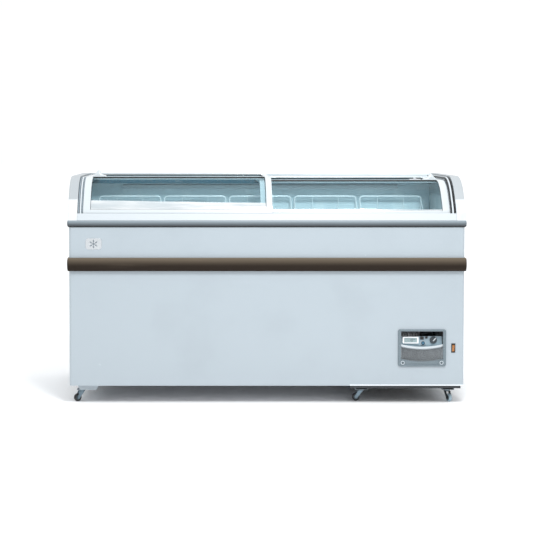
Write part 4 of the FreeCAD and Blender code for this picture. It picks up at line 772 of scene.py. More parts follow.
# %% [markdown]
# ## Rubber in the side channels
# Each side channel has a white rib with a groove on either side of it. Rubber lies in both grooves
# and follows the roof line: these are the two dark lines beside each end cap. The left pair is painted
# grey as painted light, since more light falls on that side; the right pair is black. Both run on into
# the rear rail, so no end shows.

# %% Channel rubbers
OUTER_GROOVE, RIB, INNER_GROOVE = 9 * MM, 6 * MM, 7 * MM
RUBBER_SUNK, RUBBER_ASIDE, RUBBER_FILL = 9 * MM, 0.3 * MM, 0.36
CHANNEL_START, CHANNEL_END = rail_run + 3 * MM, 660 * MM
channel_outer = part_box("side_channels")[1].x
rib_outer = channel_outer - OUTER_GROOVE
rib_inner = rib_outer - RIB
# Painted light: the left beads are the same black rubber, coloured grey for the light on that side.
seal_grey = rubber("seal_grey", tone(126, 138, 146))


def channel_rubber(name, side, finish):
    """Two beads on one side of the freezer, sunk in the grooves beside the rib."""
    along = np.append(np.linspace(CHANNEL_START, FLAT_START, 40), CHANNEL_END)
    beads = []
    for inner, outer in ((rib_inner - INNER_GROOVE, rib_inner), (rib_outer, channel_outer)):
        x = side * ((inner + outer) / 2 + RUBBER_ASIDE)
        path = roof(x, along, RUBBER_SUNK)
        beads.append(carry(circle(RUBBER_FILL * (outer - inner), 8), path, X))
    return settle(solid(name, beads), "root", "black_plastic", finish)


for name, side, finish in (("left_channel_rubber", -1, seal_grey), ("right_channel_rubber", 1, seal_black)):
    made = channel_rubber(name, side, finish)
    print(made.name, len(made.data.polygons), "faces")

# %% [markdown]
# ## Grips
# The grip of a lid is a low tent: a long toe, a ridge to pull on and a hollow for the fingers on the
# inner side. A box with a chamfer would not catch the light like that. The height is a smooth
# function of the share across, and each cross-section is narrower at the ridge than at the foot.

# %% Lid grips
GRIP_RINGS, ARCH_POINTS = 61, 25


def grip_height(share):
    """Height of the tent over its width: a steep rise to the ridge, then a scooped fall to a lip."""
    return np.interp(share, [0, 0.06, 0.16, 0.33, 0.42, 0.5, 0.56, 0.62, 0.74, 0.92, 1],
                     [0.1, 0.17, 0.27, 0.74, 0.98, 0.99, 0.8, 0.46, 0.26, 0.2, 0.1])


def grip(lid, outward):
    """A moulded tent: rings across the width; each ring is an arch |y|⁴ + |z|⁴ = 1 on a flat foot."""
    low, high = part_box(lid + "_handle")
    share = np.linspace(0, 1, GRIP_RINGS)
    smooth = np.convolve(np.pad(grip_height(share), 2, "edge"), [0.1, 0.2, 0.4, 0.2, 0.1], "valid")
    outer, inner = (low.x, high.x) if outward < 0 else (high.x, low.x)
    turn = np.linspace(0, np.pi, ARCH_POINTS)
    arch_y = np.sign(np.cos(turn)) * np.abs(np.cos(turn)) ** 0.5
    arch_z = np.abs(np.sin(turn)) ** 0.5
    half = (high.y - low.y) / 2
    taper = 1 - 0.42 * smooth ** 1.5 * arch_z[:, None] ** 2
    ends = np.clip(np.minimum(share, 1 - share) / 0.04, 0.55, 1)
    x = np.broadcast_to(outer + (inner - outer) * share, (ARCH_POINTS, GRIP_RINGS))
    y = (low.y + high.y) / 2 - arch_y[:, None] * half * taper * (0.9 + 0.1 * ends)
    z = low.z + arch_z[:, None] * (high.z - low.z) * smooth * ends
    grid = np.stack([x, y, z], axis=-1).transpose(1, 0, 2)
    piece = solid(lid + "_grip", [grid], sharp=50)
    return settle(piece, lid, "lid_white", stands_for=(lid + "_handle",))


for lid, outward in (("left_lid", -1), ("right_lid", 1)):
    made = grip(lid, outward)
    print(made.name, len(made.data.vertices), "vertices")

# %% [markdown]
# ## Wire baskets
# A basket is bent and welded wire with a white coat. Modelled as a box it would hide what is behind
# it, so every wire is a tube: a thick rim, a raised rear frame with a grip sleeve, thin wires that run
# down one side, under the floor and up the other, and hooks that sit on the tank's ledge.

# %% Baskets
RIM_WIRE, FRAME_WIRE, MESH_WIRE, STAY_WIRE, HOOK_WIRE = 2.4 * MM, 3 * MM, 1.3 * MM, 1.8 * MM, 2 * MM
SLEEVE, SLEEVE_REACH = 4.2 * MM, 56 * MM
REAR_RISE, REAR_SLOPE, HOOK_REACH, HOOK_DROP = 73 * MM, 70 * MM, 18 * MM, 22 * MM
DRAFT, LONG_WIRES, CROSS_WIRES = 6 * MM, 9, 14


def basket(node):
    """All the wires of one basket as one piece."""
    low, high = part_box(node)
    front, back = low.y + HOOK_REACH + RIM_WIRE, high.y - HOOK_REACH - RIM_WIRE
    left, right = low.x + RIM_WIRE, high.x - RIM_WIRE
    rim_top = high.z - REAR_RISE
    floor, rim, top = low.z + MESH_WIRE, rim_top - RIM_WIRE, high.z - FRAME_WIRE
    grids, loops = [], []

    def wire(corners, normal, radius=MESH_WIRE, bend=12 * MM, loop=False, sides=6):
        if loop:
            loops.append(len(grids))
        path = rounded(corners, bend, 4, loop)
        grids.append(carry(circle(radius, sides), path, normal, loop))

    def ring(level, inset, radius, sides=6):
        corners = [(left + inset, front + inset, level), (right - inset, front + inset, level),
                   (right - inset, back - inset, level), (left + inset, back - inset, level)]
        wire(corners, Z, radius, 22 * MM, True, sides)

    ring(rim, 0, RIM_WIRE, 8)
    for share in (0.3, 0.62):
        ring(rim + share * (floor - rim), DRAFT * share, MESH_WIRE)
    wire([(left, back, rim), (left, back, top), (right, back, top), (right, back, rim)],
         Y, FRAME_WIRE, 16 * MM, sides=8)
    middle, half_way = (left + right) / 2, (top + rim) / 2
    sleeve_ends = (middle - SLEEVE_REACH, middle + SLEEVE_REACH)
    grids.append(carry(circle(SLEEVE, 12), [(x, back, top) for x in sleeve_ends], Z))
    for x in sleeve_ends:
        wire([(x, back, top), (x, back, half_way), (x, back, rim)], Y)
    for x in (left, right):
        wire([(x, back, top - 14 * MM), (x, back - REAR_SLOPE / 2, half_way - 7 * MM),
              (x, back - REAR_SLOPE, rim)], X, STAY_WIRE)
    for x in np.linspace(left + 26 * MM, right - 26 * MM, LONG_WIRES):
        wire([(x, front, rim), (x, front + DRAFT, floor), (x, back - DRAFT, floor), (x, back, rim)], X)
    for y in np.linspace(front + 30 * MM, back - 30 * MM, CROSS_WIRES):
        under = floor + 2 * MESH_WIRE
        wire([(left, y, rim), (left + DRAFT, y, under), (right - DRAFT, y, under), (right, y, rim)], Y)
    ledge = rim_top - HOOK_DROP + MESH_WIRE
    for x in (left + 40 * MM, right - 40 * MM):
        for wall, tip in ((front, low.y + MESH_WIRE), (back, high.y - MESH_WIRE)):
            wire([(x, wall, rim), (x, tip, rim - 4 * MM), (x, tip, ledge)], X, HOOK_WIRE, 5 * MM)
    piece = solid(node + "_wires", grids, loops)
    return settle(piece, "root", "basket_wire", stands_for=(node,))


basket_nodes = [node for node in slot_of if node.startswith("basket_")]
for node in basket_nodes:
    made = basket(node)
print(len(basket_nodes), "baskets; the last has", len(made.data.polygons), "faces")

# %% [markdown]
# ## Trim and bumper
# The grey band under the lids and the brown bumper are extrusions with a bowed face, so both are pale
# where they look up and dark where they look down. The flat bands of the working model stay, and get a
# thin crowned face each; a black bead at the joint between trim and cabinet is painted shade for the
# shadow gap there.

# %% Crowned faces and the shadow bead
BOW, BELT_CORNER, ROOT, SHADOW_BEAD = 3 * MM, 9 * MM, 0.4 * MM, 1.8 * MM


def belt(name, node, profile, level, slot, finish=None, inset=0.0):
    """A profile carried round the left side, the front and the right side of a node's box."""
    low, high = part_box(node)
    left, right, front, rear = low.x + inset, high.x - inset, low.y + inset, high.y - 2 * MM
    corners = [(left, rear, level), (left, front, level), (right, front, level), (right, rear, level)]
    path = rounded(corners, BELT_CORNER, 8)
    return settle(solid(name, [carry(profile, path, Z)]), "root", slot, finish)


def crowned(name, node, slot):
    """A face that bows out from just inside the band behind it.

    It goes half·sin a up and (bow + root)·cos a - root out, for a from -90 to 90 degrees.
    """
    low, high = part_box(node)
    half = (high.z - low.z) / 2 - 0.5 * MM
    turn = np.linspace(-np.pi / 2, np.pi / 2, 15)
    face = np.stack([half * np.sin(turn), (BOW + ROOT) * np.cos(turn) - ROOT], axis=-1)
    return belt(name, node, face, (low.z + high.z) / 2, slot)


faces = [crowned("rim_trim_face", "rim_trim", "grey_trim"),
         crowned("bumper_face", "bumper_strip", "brown_bumper")]
# Painted shade: a black bead under the trim stands for the shadow gap at the joint.
joint_shadow_bead = belt("rim_trim_seal", "rim_trim", circle(SHADOW_BEAD, 10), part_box("rim_trim")[0].z - 1 * MM,
                  "black_plastic", seal_black, 3.2 * MM)
print([face.name for face in faces], "bow out", round(BOW / MM, 1), "mm, over", joint_shadow_bead.name)

# %% [markdown]
# ## Hem over the tray
# The wrap ends below in a folded hem. Over the dark tray it stands out a little and catches the light as
# a thin bright line, so this stretch gets a bead of its own: a rounded strip carried along the edge. Its
# paint is much paler than the body paint, as a painted highlight.

# %% Folded hem
HEM, HEM_OUT = 4.6 * MM, 1.6 * MM
shell_low, shell_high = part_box("outer_shell")
hem_ends = (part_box("compressor_tray")[0].x, shell_high.x - 2 * MM)
hem_line = [(x, shell_low.y - 0.2 * MM, shell_low.z + HEM / 2) for x in hem_ends]
# Painted highlight: the hem's paint is much paler than the body paint.
hem_highlight_paint = paint("hem_paint", tone(214, 220, 224))
hem = solid("wrap_hem", [carry(oblong(HEM, HEM_OUT, 0.6 * MM), hem_line, Z)])
settle(hem, "root", "painted_steel", hem_highlight_paint)
print(hem.name, "is", round((hem_ends[1] - hem_ends[0]) / MM), "mm long")

# %% [markdown]
# ## Brush along the rear rail
# The rear edges of the lids slide over the rear rail. A brush closes the gap there, coloured dark teal as
# painted shade under the lids; from the front it is the dark stripe at the top of both windows.

# %% Brush strip
BRUSH_HEIGHT, BRUSH_THICK, BRUSH_SHORT = 19 * MM, 2 * MM, 4 * MM
rail_low, rail_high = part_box("rear_rail")
brush_level = rail_low.z + 1 * MM + BRUSH_HEIGHT / 2
brush_line = [(x, rail_low.y - 0.6 * MM, brush_level)
              for x in (rail_low.x + BRUSH_SHORT, rail_high.x - BRUSH_SHORT)]
# Painted shade: the brush is coloured dark teal like the shade under the lids.
brush_dark = rubber("brush_dark", tone(44, 86, 102))
brush = solid("rear_rail_brush", [carry(oblong(BRUSH_HEIGHT, BRUSH_THICK, 0.8 * MM), brush_line, Z)])
settle(brush, "root", "black_plastic", brush_dark)
print(brush.name, "is", round(BRUSH_HEIGHT / MM), "mm high")

# %% [markdown]
# ## The control panel
# Behind the silver bezel sit a thermometer, two dark lamps, a blue button and the thermostat knob, over
# a fine woven grille. The working model gives the blocks; here the grille becomes woven wire, the
# thermometer gets a glass with seven-segment figures, and the knob and button are turned parts.
# Weaving is a cosine: each wire swings by its own radius, and the next one is half a wave late.

# %% Woven grille
WEAVE, GRILLE_WIRE, SAG, BORDER = 4.4 * MM, 0.75 * MM, 10 * MM, 3.5 * MM
BORDER_POINTS, SHEET_POINTS = 33, 49
grille_low, grille_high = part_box("vent_grille")
grille_half = (grille_high.x - grille_low.x) / 2
grille_x = (grille_high.x + grille_low.x) / 2
grille_y = (grille_high.y + grille_low.y) / 2


def sagging(x, level):
    """A line that hangs by the sag at mid-width: level - sag·(1 - (x/half)²)."""
    return level - SAG * (1 - ((x - grille_x) / grille_half) ** 2)


def woven_grille():
    """Two sets of wires that pass over and under each other, inside a flat border."""
    top, bottom = grille_high.z, grille_low.z + SAG
    half = grille_half - BORDER
    grids, loops = [], [0]
    across = np.linspace(-grille_half, grille_half, BORDER_POINTS) + grille_x
    level = np.full_like(across, grille_y)
    upper = np.stack([across, level, sagging(across, top - BORDER / 2)], axis=-1)
    lower = np.stack([across, level, sagging(across, bottom + BORDER / 2)], axis=-1)
    frame_path = np.vstack([upper, lower[::-1]])
    frame_path[:, 0] = np.clip(frame_path[:, 0], grille_low.x + BORDER / 2, grille_high.x - BORDER / 2)
    grids.append(carry(oblong(2 * MM, BORDER, 0.5 * MM, 1), frame_path, Y, True))
    columns = round(2 * half / WEAVE)
    rows = round((top - bottom) / WEAVE)
    for number in range(1, columns):
        x = grille_x - half + number * 2 * half / columns
        z = np.linspace(sagging(x, bottom), sagging(x, top), 2 * rows + 1)
        y = grille_y + GRILLE_WIRE * np.cos(np.pi * (np.arange(2 * rows + 1) / 2 + number))
        grids.append(carry(circle(GRILLE_WIRE, 5), np.stack([np.full_like(z, x), y, z], axis=-1), X))
    for number in range(1, rows):
        x = np.linspace(grille_x - half, grille_x + half, 2 * columns + 1)
        level = bottom + number * (top - bottom) / rows
        y = grille_y - GRILLE_WIRE * np.cos(np.pi * (np.arange(2 * columns + 1) / 2 + number))
        path = np.stack([x, y, sagging(x, level)], axis=-1)
        grids.append(carry(circle(GRILLE_WIRE, 5), path, Z))
    return settle(solid("woven_grille", grids, loops), "root", "grille_grey", stands_for=("vent_grille",))


made = woven_grille()
print(made.name, len(made.data.polygons), "faces")


# %% Filter behind the grille and lip above it
def sagging_sheet(name, top, bottom, front, thick, slot, finish=None):
    """A sheet whose upper and lower edges sag: one ring of four points at each of many places across."""
    x = np.linspace(-grille_half, grille_half, SHEET_POINTS) * 0.998 + grille_x
    corners = ((front, bottom), (front, top), (front + thick, top), (front + thick, bottom))
    rings = [np.stack([x, np.full_like(x, y), sagging(x, level)], axis=-1) for y, level in corners]
    return settle(solid(name, [np.stack(rings, axis=1)]), "root", slot, finish)


filter_felt = rubber("filter_felt", tone(34, 38, 41))
sheets = [sagging_sheet("grille_filter", grille_high.z - BORDER, grille_low.z + SAG + BORDER,
                        grille_high.y + 1.5 * MM, 1 * MM, "grille_grey", filter_felt),
          sagging_sheet("fascia_lip", grille_high.z + 9 * MM, grille_high.z + 1 * MM,
                        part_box("control_fascia")[0].y - 1 * MM, 1.4 * MM, "lid_white")]
print([piece.name for piece in sheets])

# %% [markdown]
# ## Thermometer
# A text object could write the figures, but a font brings hundreds of faces and looks printed. Real
# figures are seven bars that are lit or not, so a table says which bars a sign needs, and each bar is a
# small pad. They lie on a sunk glass with fine rows, behind a clear coat.


# %% One figure
FIGURE_HEIGHT, FIGURE_WIDTH, STROKE = 9 * MM, 5 * MM, 1.1 * MM
SEGMENTS = {"1": "bc", "8": "abcdefg", "-": "g"}


def figure(sign, x, z, y):
    """One seven-segment figure as pads, at its lower left corner."""
    wide, tall = FIGURE_WIDTH, FIGURE_HEIGHT
    places = {
        "a": (wide / 2, tall, True), "g": (wide / 2, tall / 2, True), "d": (wide / 2, 0, True),
        "b": (wide, 0.75 * tall, False), "c": (wide, 0.25 * tall, False),
        "f": (0, 0.75 * tall, False), "e": (0, 0.25 * tall, False),
    }
    bars = []
    for name in SEGMENTS[sign]:
        right, up, level = places[name]
        size = (wide - STROKE, STROKE) if level else (STROKE, tall / 2 - STROKE)
        bars.append(pad((x + right, y, z + up), *size, 0.3 * MM, 0.4 * MM, 0.08 * MM))
    return bars


print("an eight has", len(figure("8", 0, 0, 0)), "bars")

# %% Thermometer glass and figures
FIGURE_OUT, SIGN_PLACES = 0.65 * MM, {"-": -13 * MM, "1": -6 * MM, "8": 3 * MM}
display_low, display_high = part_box("thermometer_display")
display_middle = (display_low + display_high) / 2


def display_lens():
    """Sunk glass with fine rows across it."""
    wide, tall = display_high.x - display_low.x - 12 * MM, display_high.z - display_low.z - 9 * MM
    place = (display_middle.x, display_low.y, display_middle.z)
    lens = solid("display_lens", [pad(place, wide, tall, 1 * MM, 1.5 * MM, 0.3 * MM)])
    glass = Finish("display_glass", tone(126, 146, 150), Roughness=0.12, Coat_Weight=0.6)
    rows = glass.noise(1, 2, (30, 30, 900))
    glass.feed("Base Color", glass.mix(rows, tone(112, 132, 137), tone(150, 168, 170)))
    return settle(lens, "root", "display", glass)


def display_figures():
    """The figures -18 and a small ring for the degree, on the glass."""
    front = display_low.y - FIGURE_OUT
    bars = []
    for sign, shift in SIGN_PLACES.items():
        bars += figure(sign, display_middle.x + shift, display_middle.z - FIGURE_HEIGHT / 2, front)
    ring = circle(1.5 * MM, 16) + [display_middle.x + 14 * MM, display_middle.z + 3 * MM]
    path = np.stack([ring[:, 0], np.full(len(ring), front), ring[:, 1]], axis=-1)
    degree = carry(circle(0.4 * MM, 6), path, Y, True)
    ink = plastic("display_ink", (0.01, 0.015, 0.02), 0.4)
    figures = solid("display_figures", bars + [degree], [len(bars)])
    return settle(figures, "root", "black_plastic", ink)


for made in (display_lens(), display_figures()):
    print(made.name, len(made.data.polygons), "faces")

# %% [markdown]
# ## Knob and button
# Both are turned shapes, so the lathe makes them. The knob has a fluted skirt for wet fingers, a raised
# bar and a white pointer; the fascia round it carries a scale of short strokes. The button is a
# blue dome in a pale collar. They ride on their own bodies, so they turn and travel.


# %% Thermostat knob and its scale
KNOB_LEAN, BAR_OUT, POINTER_OUT = math.radians(40), 8.6 * MM, 3.05 * MM
SCALE_END, SCALE_STEP = 140, 28
plate = display_high.y
knob_low, knob_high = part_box("thermostat_knob")
knob_radius = (knob_high.x - knob_low.x) / 2
knob_x, knob_z = (knob_low.x + knob_high.x) / 2, (knob_low.z + knob_high.z) / 2


def tilted(angle):
    """Up and sideways in the plane of the panel, turned clockwise by an angle."""
    return math.sin(angle) * X + math.cos(angle) * Z, math.cos(angle) * X - math.sin(angle) * Z


def front_lathe(outline, x, z, y, **more):
    """A turned part that faces forward; along grows towards the front."""
    return lathe(outline, (x, y, z), -Y, **more)


def knob():
    """Fluted skirt and raised bar, turned to rest like the working model's, and the white pointer."""
    skirt = [(0.3, 0.93), (0.6, 0.99), (3.5, 0.99), (4.6, 0.95), (5.6, 0.86), (6.0, 0.72), (6.0, 0.1)]
    outline = [(along * MM, share * knob_radius) for along, share in skirt]
    body = front_lathe(outline, knob_x, knob_z, plate, sides=144, flutes=36, bite=0.018)
    up, across = tilted(KNOB_LEAN)
    centre = np.array([knob_x, plate - BAR_OUT, knob_z])
    bar = pad(centre, 6 * MM, 1.72 * knob_radius, 6 * MM, 2.4 * MM, 1.2 * MM, across, up)
    piece = solid("thermostat_knob_turned", [body, bar], sharp=35)
    settle(piece, "thermostat_knob", "knob_grey", stands_for=("thermostat_knob",))
    tip = centre + up * knob_radius * 0.36 - Y * POINTER_OUT
    line = pad(tip, 4 * MM, 1.1 * knob_radius, 0.5 * MM, 0.8 * MM, 0.15 * MM, across, up)
    return settle(solid("knob_pointer", [line]), "thermostat_knob", "lid_white")


def knob_scale():
    """Short strokes round the knob, left out where they would run off the fascia."""
    strokes = []
    for degrees in range(-SCALE_END, SCALE_END + 1, SCALE_STEP):
        way, aside = tilted(math.radians(degrees))
        spot = np.array([knob_x, plate - 0.1 * MM, knob_z]) + way * (knob_radius + 2.2 * MM)
        if spot[2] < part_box("control_fascia")[1].z - 1.5 * MM:
            strokes.append(pad(spot, 0.7 * MM, 2.4 * MM, 0.5 * MM, 0.3 * MM, 0.1 * MM, aside, way))
    return settle(solid("knob_scale", strokes), "root", "lid_white")


print([made.name for made in (knob(), knob_scale())])


# %% Push button and its collar
def button():
    """Blue dome on its own body, and the pale collar it travels in."""
    low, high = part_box("push_button")
    radius = (high.x - low.x) / 2
    x, z = (low.x + high.x) / 2, (low.z + high.z) / 2
    dome = [(0, 0.97), (1.6, 1.0), (2.8, 0.94), (3.5, 0.8), (4.0, 0.58), (4.25, 0.3), (4.3, 0.06)]
    outline = [(along * MM, share * radius) for along, share in dome]
    piece = solid("push_button_dome", [front_lathe(outline, x, z, low.y + outline[-1][0])])
    settle(piece, "push_button", "button_blue", stands_for=("push_button",))
    ring = [(-0.3, 1.14), (-0.3, 1.4), (1.2, 1.38), (2.0, 1.3), (2.1, 1.2), (1.8, 1.12), (0.2, 1.1)]
    outline = [(along * MM, share * radius) for along, share in ring]
    collar = front_lathe(outline, x, z, plate)
    piece = solid("push_button_collar", [collar.transpose(1, 0, 2)], [0])
    return settle(piece, "root", "lid_white")


print(button().name, "stands round the button")

# %% [markdown]
# ## Wheels
# A caster wheel is a soft tyre on a hard hub, held by a bolt. The lathe turns each part from its half
# section. The axle's direction comes from the joint of the working model, so a wheel that was
# left turned stays turned.


# %% Tyres and hubs
WHEEL_HALF = 6.4 * MM
hub_grey = plastic("hub_grey", tone(74, 84, 90), 0.4, 0.00006, 0.15)
# Painted highlight: the tyre at the front right is light grey for the glare on its black rubber.
tyre_grey = rubber("tyre_grey", tone(146, 166, 177))
axles = {joint["name"]: (np.array(joint["pos_m"]), np.array(joint["axis"]))
         for joint in frame["joints"] if joint["name"].endswith("_roll")}


def wheel(corner):
    """Tyre with a crowned tread, dished hub and axle nuts; the axle's height is the wheel's radius."""
    node = corner + "_wheel"
    centre, axis = axles[corner + "_roll"]
    radius = centre[2]
    tyre = [(-0.8, 0.62), (-0.96, 0.68), (-1.0, 0.8), (-0.86, 0.93), (-0.5, 0.99), (0, 1.0),
            (0.5, 0.99), (0.86, 0.93), (1.0, 0.8), (0.96, 0.68), (0.8, 0.62)]
    outline = [(along * WHEEL_HALF, share * radius) for along, share in tyre]
    piece = solid(node + "_tyre", [lathe(outline, centre, axis, 56)])
    settle(piece, node, "wheel_black", tyre_grey if corner == "front_right" else None, (node,))
    hub = [(-1.02, 0.16), (-1.05, 0.24), (-0.84, 0.3), (-0.82, 0.5), (-0.94, 0.56), (-0.86, 0.64),
           (0.86, 0.64), (0.94, 0.56), (0.82, 0.5), (0.84, 0.3), (1.05, 0.24), (1.02, 0.16)]
    outline = [(along * WHEEL_HALF, share * radius) for along, share in hub]
    piece = solid(node + "_hub", [lathe(outline, centre, axis, 40)], sharp=30)
    return settle(piece, node, "zinc", hub_grey)


for corner in CORNERS:
    made = wheel(corner)
print("radius", round(axles["front_left_roll"][0][2] / MM, 2), "mm")

# %% [markdown]
# ## White end of the left caster rail
# The rail on the left is a deep white channel, closed in front by a pressed plate with slanted ends.
# Four corners are all that the plate needs: one ring behind and one in front.

# %% Rail end
END_WIDE, END_NARROW, END_THICK = 93 * MM, 62 * MM, 1.2 * MM
rails_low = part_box("caster_rails")[0]
end_top, end_bottom = shell_low.z - 0.3 * MM, rails_low.z + 0.4 * MM
end_middle = rails_low.x + END_WIDE / 2
end_outline = [(-END_WIDE / 2, end_top), (-END_NARROW / 2, end_bottom),
               (END_NARROW / 2, end_bottom), (END_WIDE / 2, end_top)]
end_rings = [[(end_middle + x, rails_low.y + y, z) for x, z in end_outline] for y in (-END_THICK, 0)]
rail_end = settle(solid("left_rail_end", [np.array(end_rings)]), "root", "painted_steel")
print(rail_end.name, "is", round((end_top - end_bottom) / MM, 1), "mm high")

# %% [markdown]
# ## Badge
# The badge of a freezer usually has a name on it. This one has only a frost crystal: six arms with
# short barbs, raised on the plate. A picture on the plate would go soft from near by, so each stroke
# is a pad.

# %% Frost crystal
ARMS, BARB_LEAN, BARBS = 6, 0.9, {0.45: 0.26, 0.72: 0.2}


def crystal():
    """Six arms as thin raised bars, with a pair of barbs at each share of their length."""
    low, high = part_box("badge_plate")
    centre = np.array([(low.x + high.x) / 2, low.y - 0.2 * MM, (low.z + high.z) / 2])
    reach = 0.4 * (high.z - low.z)
    bars = []
    for number in range(ARMS):
        way, aside = tilted(2 * math.pi * number / ARMS)
        middle = centre + way * reach / 2
        bars.append(pad(middle, 1.5 * MM, reach, 0.9 * MM, 0.6 * MM, 0.2 * MM, aside, way))
        for share, length in BARBS.items():
            for hand in (-1, 1):
                lean = way * math.cos(BARB_LEAN) + hand * aside * math.sin(BARB_LEAN)
                cross = aside * math.cos(BARB_LEAN) - hand * way * math.sin(BARB_LEAN)
                spot = centre + way * reach * share + lean * reach * length / 2
                barb = pad(spot, 1.1 * MM, reach * length, 0.8 * MM, 0.4 * MM, 0.2 * MM, cross, lean)
                bars.append(barb)
    ink = plastic("badge_ink", tone(44, 66, 80), 0.3)
    return settle(solid("badge_crystal", bars), "root", "badge_metal", ink)


made = crystal()
print(made.name, len(made.data.polygons), "faces")

# %% [markdown]
# ## Screws
# Screws hold the end caps, the rear panel, the rear grille and the bezel. Each head is a turned dome
# with a dimple, which is cheap enough to repeat, and a cross of two black pads lies on it as painted
# shade in the slots. One function makes a whole group from a list of places, so moving a screw is one
# number.


# %% Screws
def screws(name, places, facing, radius):
    """Pan heads with a dimple, and a cross of two black pads in each, painted shade for the slots."""
    head = [(0, 0.96), (0.15, 1.0), (0.4, 0.94), (0.58, 0.72), (0.64, 0.4), (0.5, 0.3), (0.42, 0.06)]
    outline = [(along * radius, share * radius) for along, share in head]
    facing = np.asarray(facing, float)
    u = np.cross(facing, Z if abs(facing[2]) < 0.9 else X)
    settle(solid(name, [lathe(outline, place, facing, 20) for place in places]), "root", "zinc")
    length, width, depth = 1.1 * radius, 0.22 * radius, 0.2 * radius
    # Painted shade: the slots are black pads, not recesses.
    slots = []
    for place in places:
        spot = np.asarray(place) + facing * radius * 0.56
        for long in (u, np.cross(facing, u)):
            aside = np.cross(facing, long)
            slots.append(pad(spot, length, width, depth, 0.05 * radius, 0.03 * radius, long, aside))
    return settle(solid(name + "_slots", slots), "root", "black_plastic", seal_black)


def near_corners(low, high, inset, columns=2):
    """Places in from the upper and lower edge of a box's rear face, spread evenly across it."""
    return [(x, high.y, z) for x in np.linspace(low.x + inset, high.x - inset, columns)
            for z in (low.z + inset, high.z - inset)]


for cap, side in (("left_end_cap", -1), ("right_end_cap", 1)):
    low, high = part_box(cap)
    outer = low.x if side < 0 else high.x
    places = [(outer, y, low.z + 14 * MM) for y in (-300 * MM, 0, 300 * MM)]
    screws(cap + "_screws", places, (side, 0, 0), 4 * MM)
panel_screws = near_corners(*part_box("back_panel"), 20 * MM, 9)
screws("back_panel_screws", panel_screws, (0, 1, 0), 4 * MM)
screws("rear_grille_screws", near_corners(*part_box("rear_vent_grille"), 10 * MM), (0, 1, 0), 3.5 * MM)
print(len(panel_screws), "screws hold the back panel")

# %% [markdown]
# ## Fixings of the bezel
# The two screws of the bezel sit deep in silver bosses, so each looks like a bright ring round a dark
# hole with a small head in it. The lathe turns the boss, and a black disc in the hole as painted shade;
# the screw is one of those above.

# %% Bosses, sockets and bezel screws
BOSS, BOSS_SIDE, BOSS_UP, SUNK = 8 * MM, 18 * MM, 15 * MM, 0.14
bezel_low, bezel_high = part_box("control_bezel")
bosses = [(x, bezel_low.y + 0.2 * MM, bezel_low.z + BOSS_UP)
          for x in (bezel_low.x + BOSS_SIDE, bezel_high.x - BOSS_SIDE)]
boss = [(0, 0.96), (0.18, 1.0), (0.34, 0.93), (0.36, 0.6), (0.14, 0.54), (0.12, 0.05)]
outline = [(along * BOSS, share * BOSS) for along, share in boss]
boss_silver = plastic("boss_silver", tone(176, 186, 192), 0.25, 0.00002)
made = solid("bezel_bosses", [lathe(outline, place, -Y, 32) for place in bosses])
settle(made, "root", "silver_plastic", boss_silver)
sunk = [(x, y - SUNK * BOSS, z) for x, y, z in bosses]
# Painted shade: the socket is a black disc in the hole.
socket = [(0, 0.57), (0.06, 0.56), (0.07, 0.03)]
outline = [(along * BOSS, share * BOSS) for along, share in socket]
made = solid("bezel_sockets", [lathe(outline, place, -Y, 24) for place in sunk])
settle(made, "root", "black_plastic", seal_black)
screws("bezel_screws", sunk, (0, -1, 0), 0.3 * BOSS)
print(len(bosses), "bosses of radius", round(BOSS / MM), "mm")

# %% [markdown]
# ## Floor
# A white floor under a white sky keeps attention on the object. It is far larger than the picture, so
# no edge of it can show.

# %% Floor
FLOOR_REACH = 60.0
floor_mesh = bpy.data.meshes.new("studio_floor")
floor_mesh.from_pydata([(-FLOOR_REACH, -FLOOR_REACH, 0), (FLOOR_REACH, -FLOOR_REACH, 0),
                        (FLOOR_REACH, FLOOR_REACH, 0), (-FLOOR_REACH, FLOOR_REACH, 0)], [], [(0, 1, 2, 3)])
floor = bpy.data.objects.new("studio_floor", floor_mesh)
bpy.context.collection.objects.link(floor)
floor_finish = Finish("studio_white", (0.9, 0.9, 0.9), Roughness=0.9, Specular_IOR_Level=0.1)
clouds = floor_finish.noise(3, 3)
floor_finish.feed("Base Color", floor_finish.mix(clouds, (0.87, 0.88, 0.89), (0.9, 0.9, 0.91)))
floor.data.materials.append(floor_finish.material)
print("floor is", 2 * FLOOR_REACH, "m square")

# %% [markdown]
# ## Sky and light
# The sky is brighter overhead than at the horizon, which shades the sides of the freezer softly. One
# area light stands high in front, a little to the right: steep enough to light the lids and
# the inside, and far enough forward to keep the shadows under trim and bumper short.

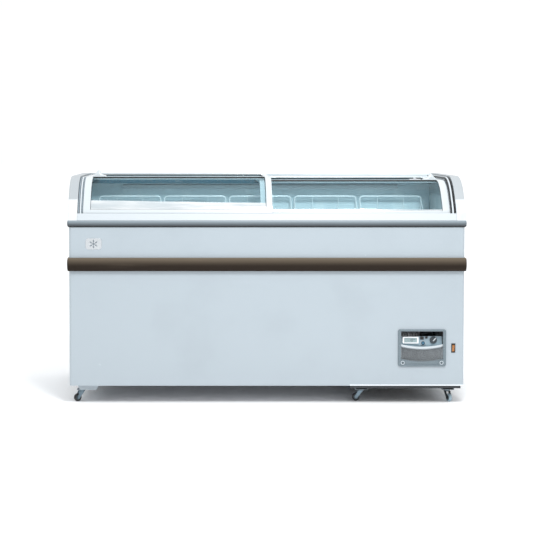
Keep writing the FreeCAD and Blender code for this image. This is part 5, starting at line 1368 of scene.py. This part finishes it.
# %% Sky and light
world = bpy.data.worlds.new("studio_sky")
world.use_nodes = True
sky = world.node_tree
direction = sky.nodes.new("ShaderNodeTexCoord")
split = sky.nodes.new("ShaderNodeSeparateXYZ")
climb = sky.nodes.new("ShaderNodeMapRange")
sky.links.new(direction.outputs["Generated"], split.inputs[0])
sky.links.new(split.outputs["Z"], climb.inputs["Value"])
for socket, value in (("From Min", 0.15), ("From Max", 1.0), ("To Min", 1.02), ("To Max", 1.45)):
    climb.inputs[socket].default_value = value
sky.links.new(climb.outputs[0], sky.nodes["Background"].inputs["Strength"])
sky.nodes["Background"].inputs["Color"].default_value = (0.985, 0.995, 1.0, 1)
bpy.context.scene.world = world


def soft_light(name, place, target, size, power):
    """A square area light at a place, turned to a target."""
    lamp = bpy.data.lights.new(name, "AREA")
    lamp.size, lamp.energy = size, power
    held = bpy.data.objects.new(name, lamp)
    held.location = place
    way = Vector(target) - Vector(place)
    held.rotation_euler = way.to_track_quat("-Z", "Y").to_euler()
    bpy.context.collection.objects.link(held)
    return held


soft_light("key_light", (0.4, -2.3, 3.0), (0, -0.3, 0.4), 0.9, 80)
bpy.context.scene.view_settings.view_transform = "Standard"
print("a sky that brightens upwards and one soft light")

# %% [markdown]
# ## Camera
# The camera stands a little above the lids and left of the middle, and looks down by two degrees. Its
# long lens is shifted sideways and down, as a view camera's is: a shift moves the picture without
# turning the camera, so the front stays a true rectangle.

# %% Camera
LENS, SENSOR, SHIFT_SIDE, SHIFT_UP = 90.16, 36.0, 0.12, -0.1395
CAMERA_SIDE, CAMERA_AWAY, CAMERA_HEIGHT, LOOK_DOWN = -0.2516, 5.206, 1.033, math.radians(2.2)
camera_data = bpy.data.cameras.new("camera")
camera_data.lens, camera_data.sensor_width = LENS, SENSOR
camera_data.shift_x, camera_data.shift_y = SHIFT_SIDE, SHIFT_UP
camera_data.clip_end = FLOOR_REACH
camera = bpy.data.objects.new("camera", camera_data)
camera.location = (CAMERA_SIDE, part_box("front_rail")[0].y - CAMERA_AWAY, CAMERA_HEIGHT)
camera.rotation_euler = (math.pi / 2 - LOOK_DOWN, 0, 0)
bpy.context.collection.objects.link(camera)
bpy.context.scene.camera = camera
print("one frame width shows", round(CAMERA_AWAY * SENSOR / LENS, 3), "m at the front")
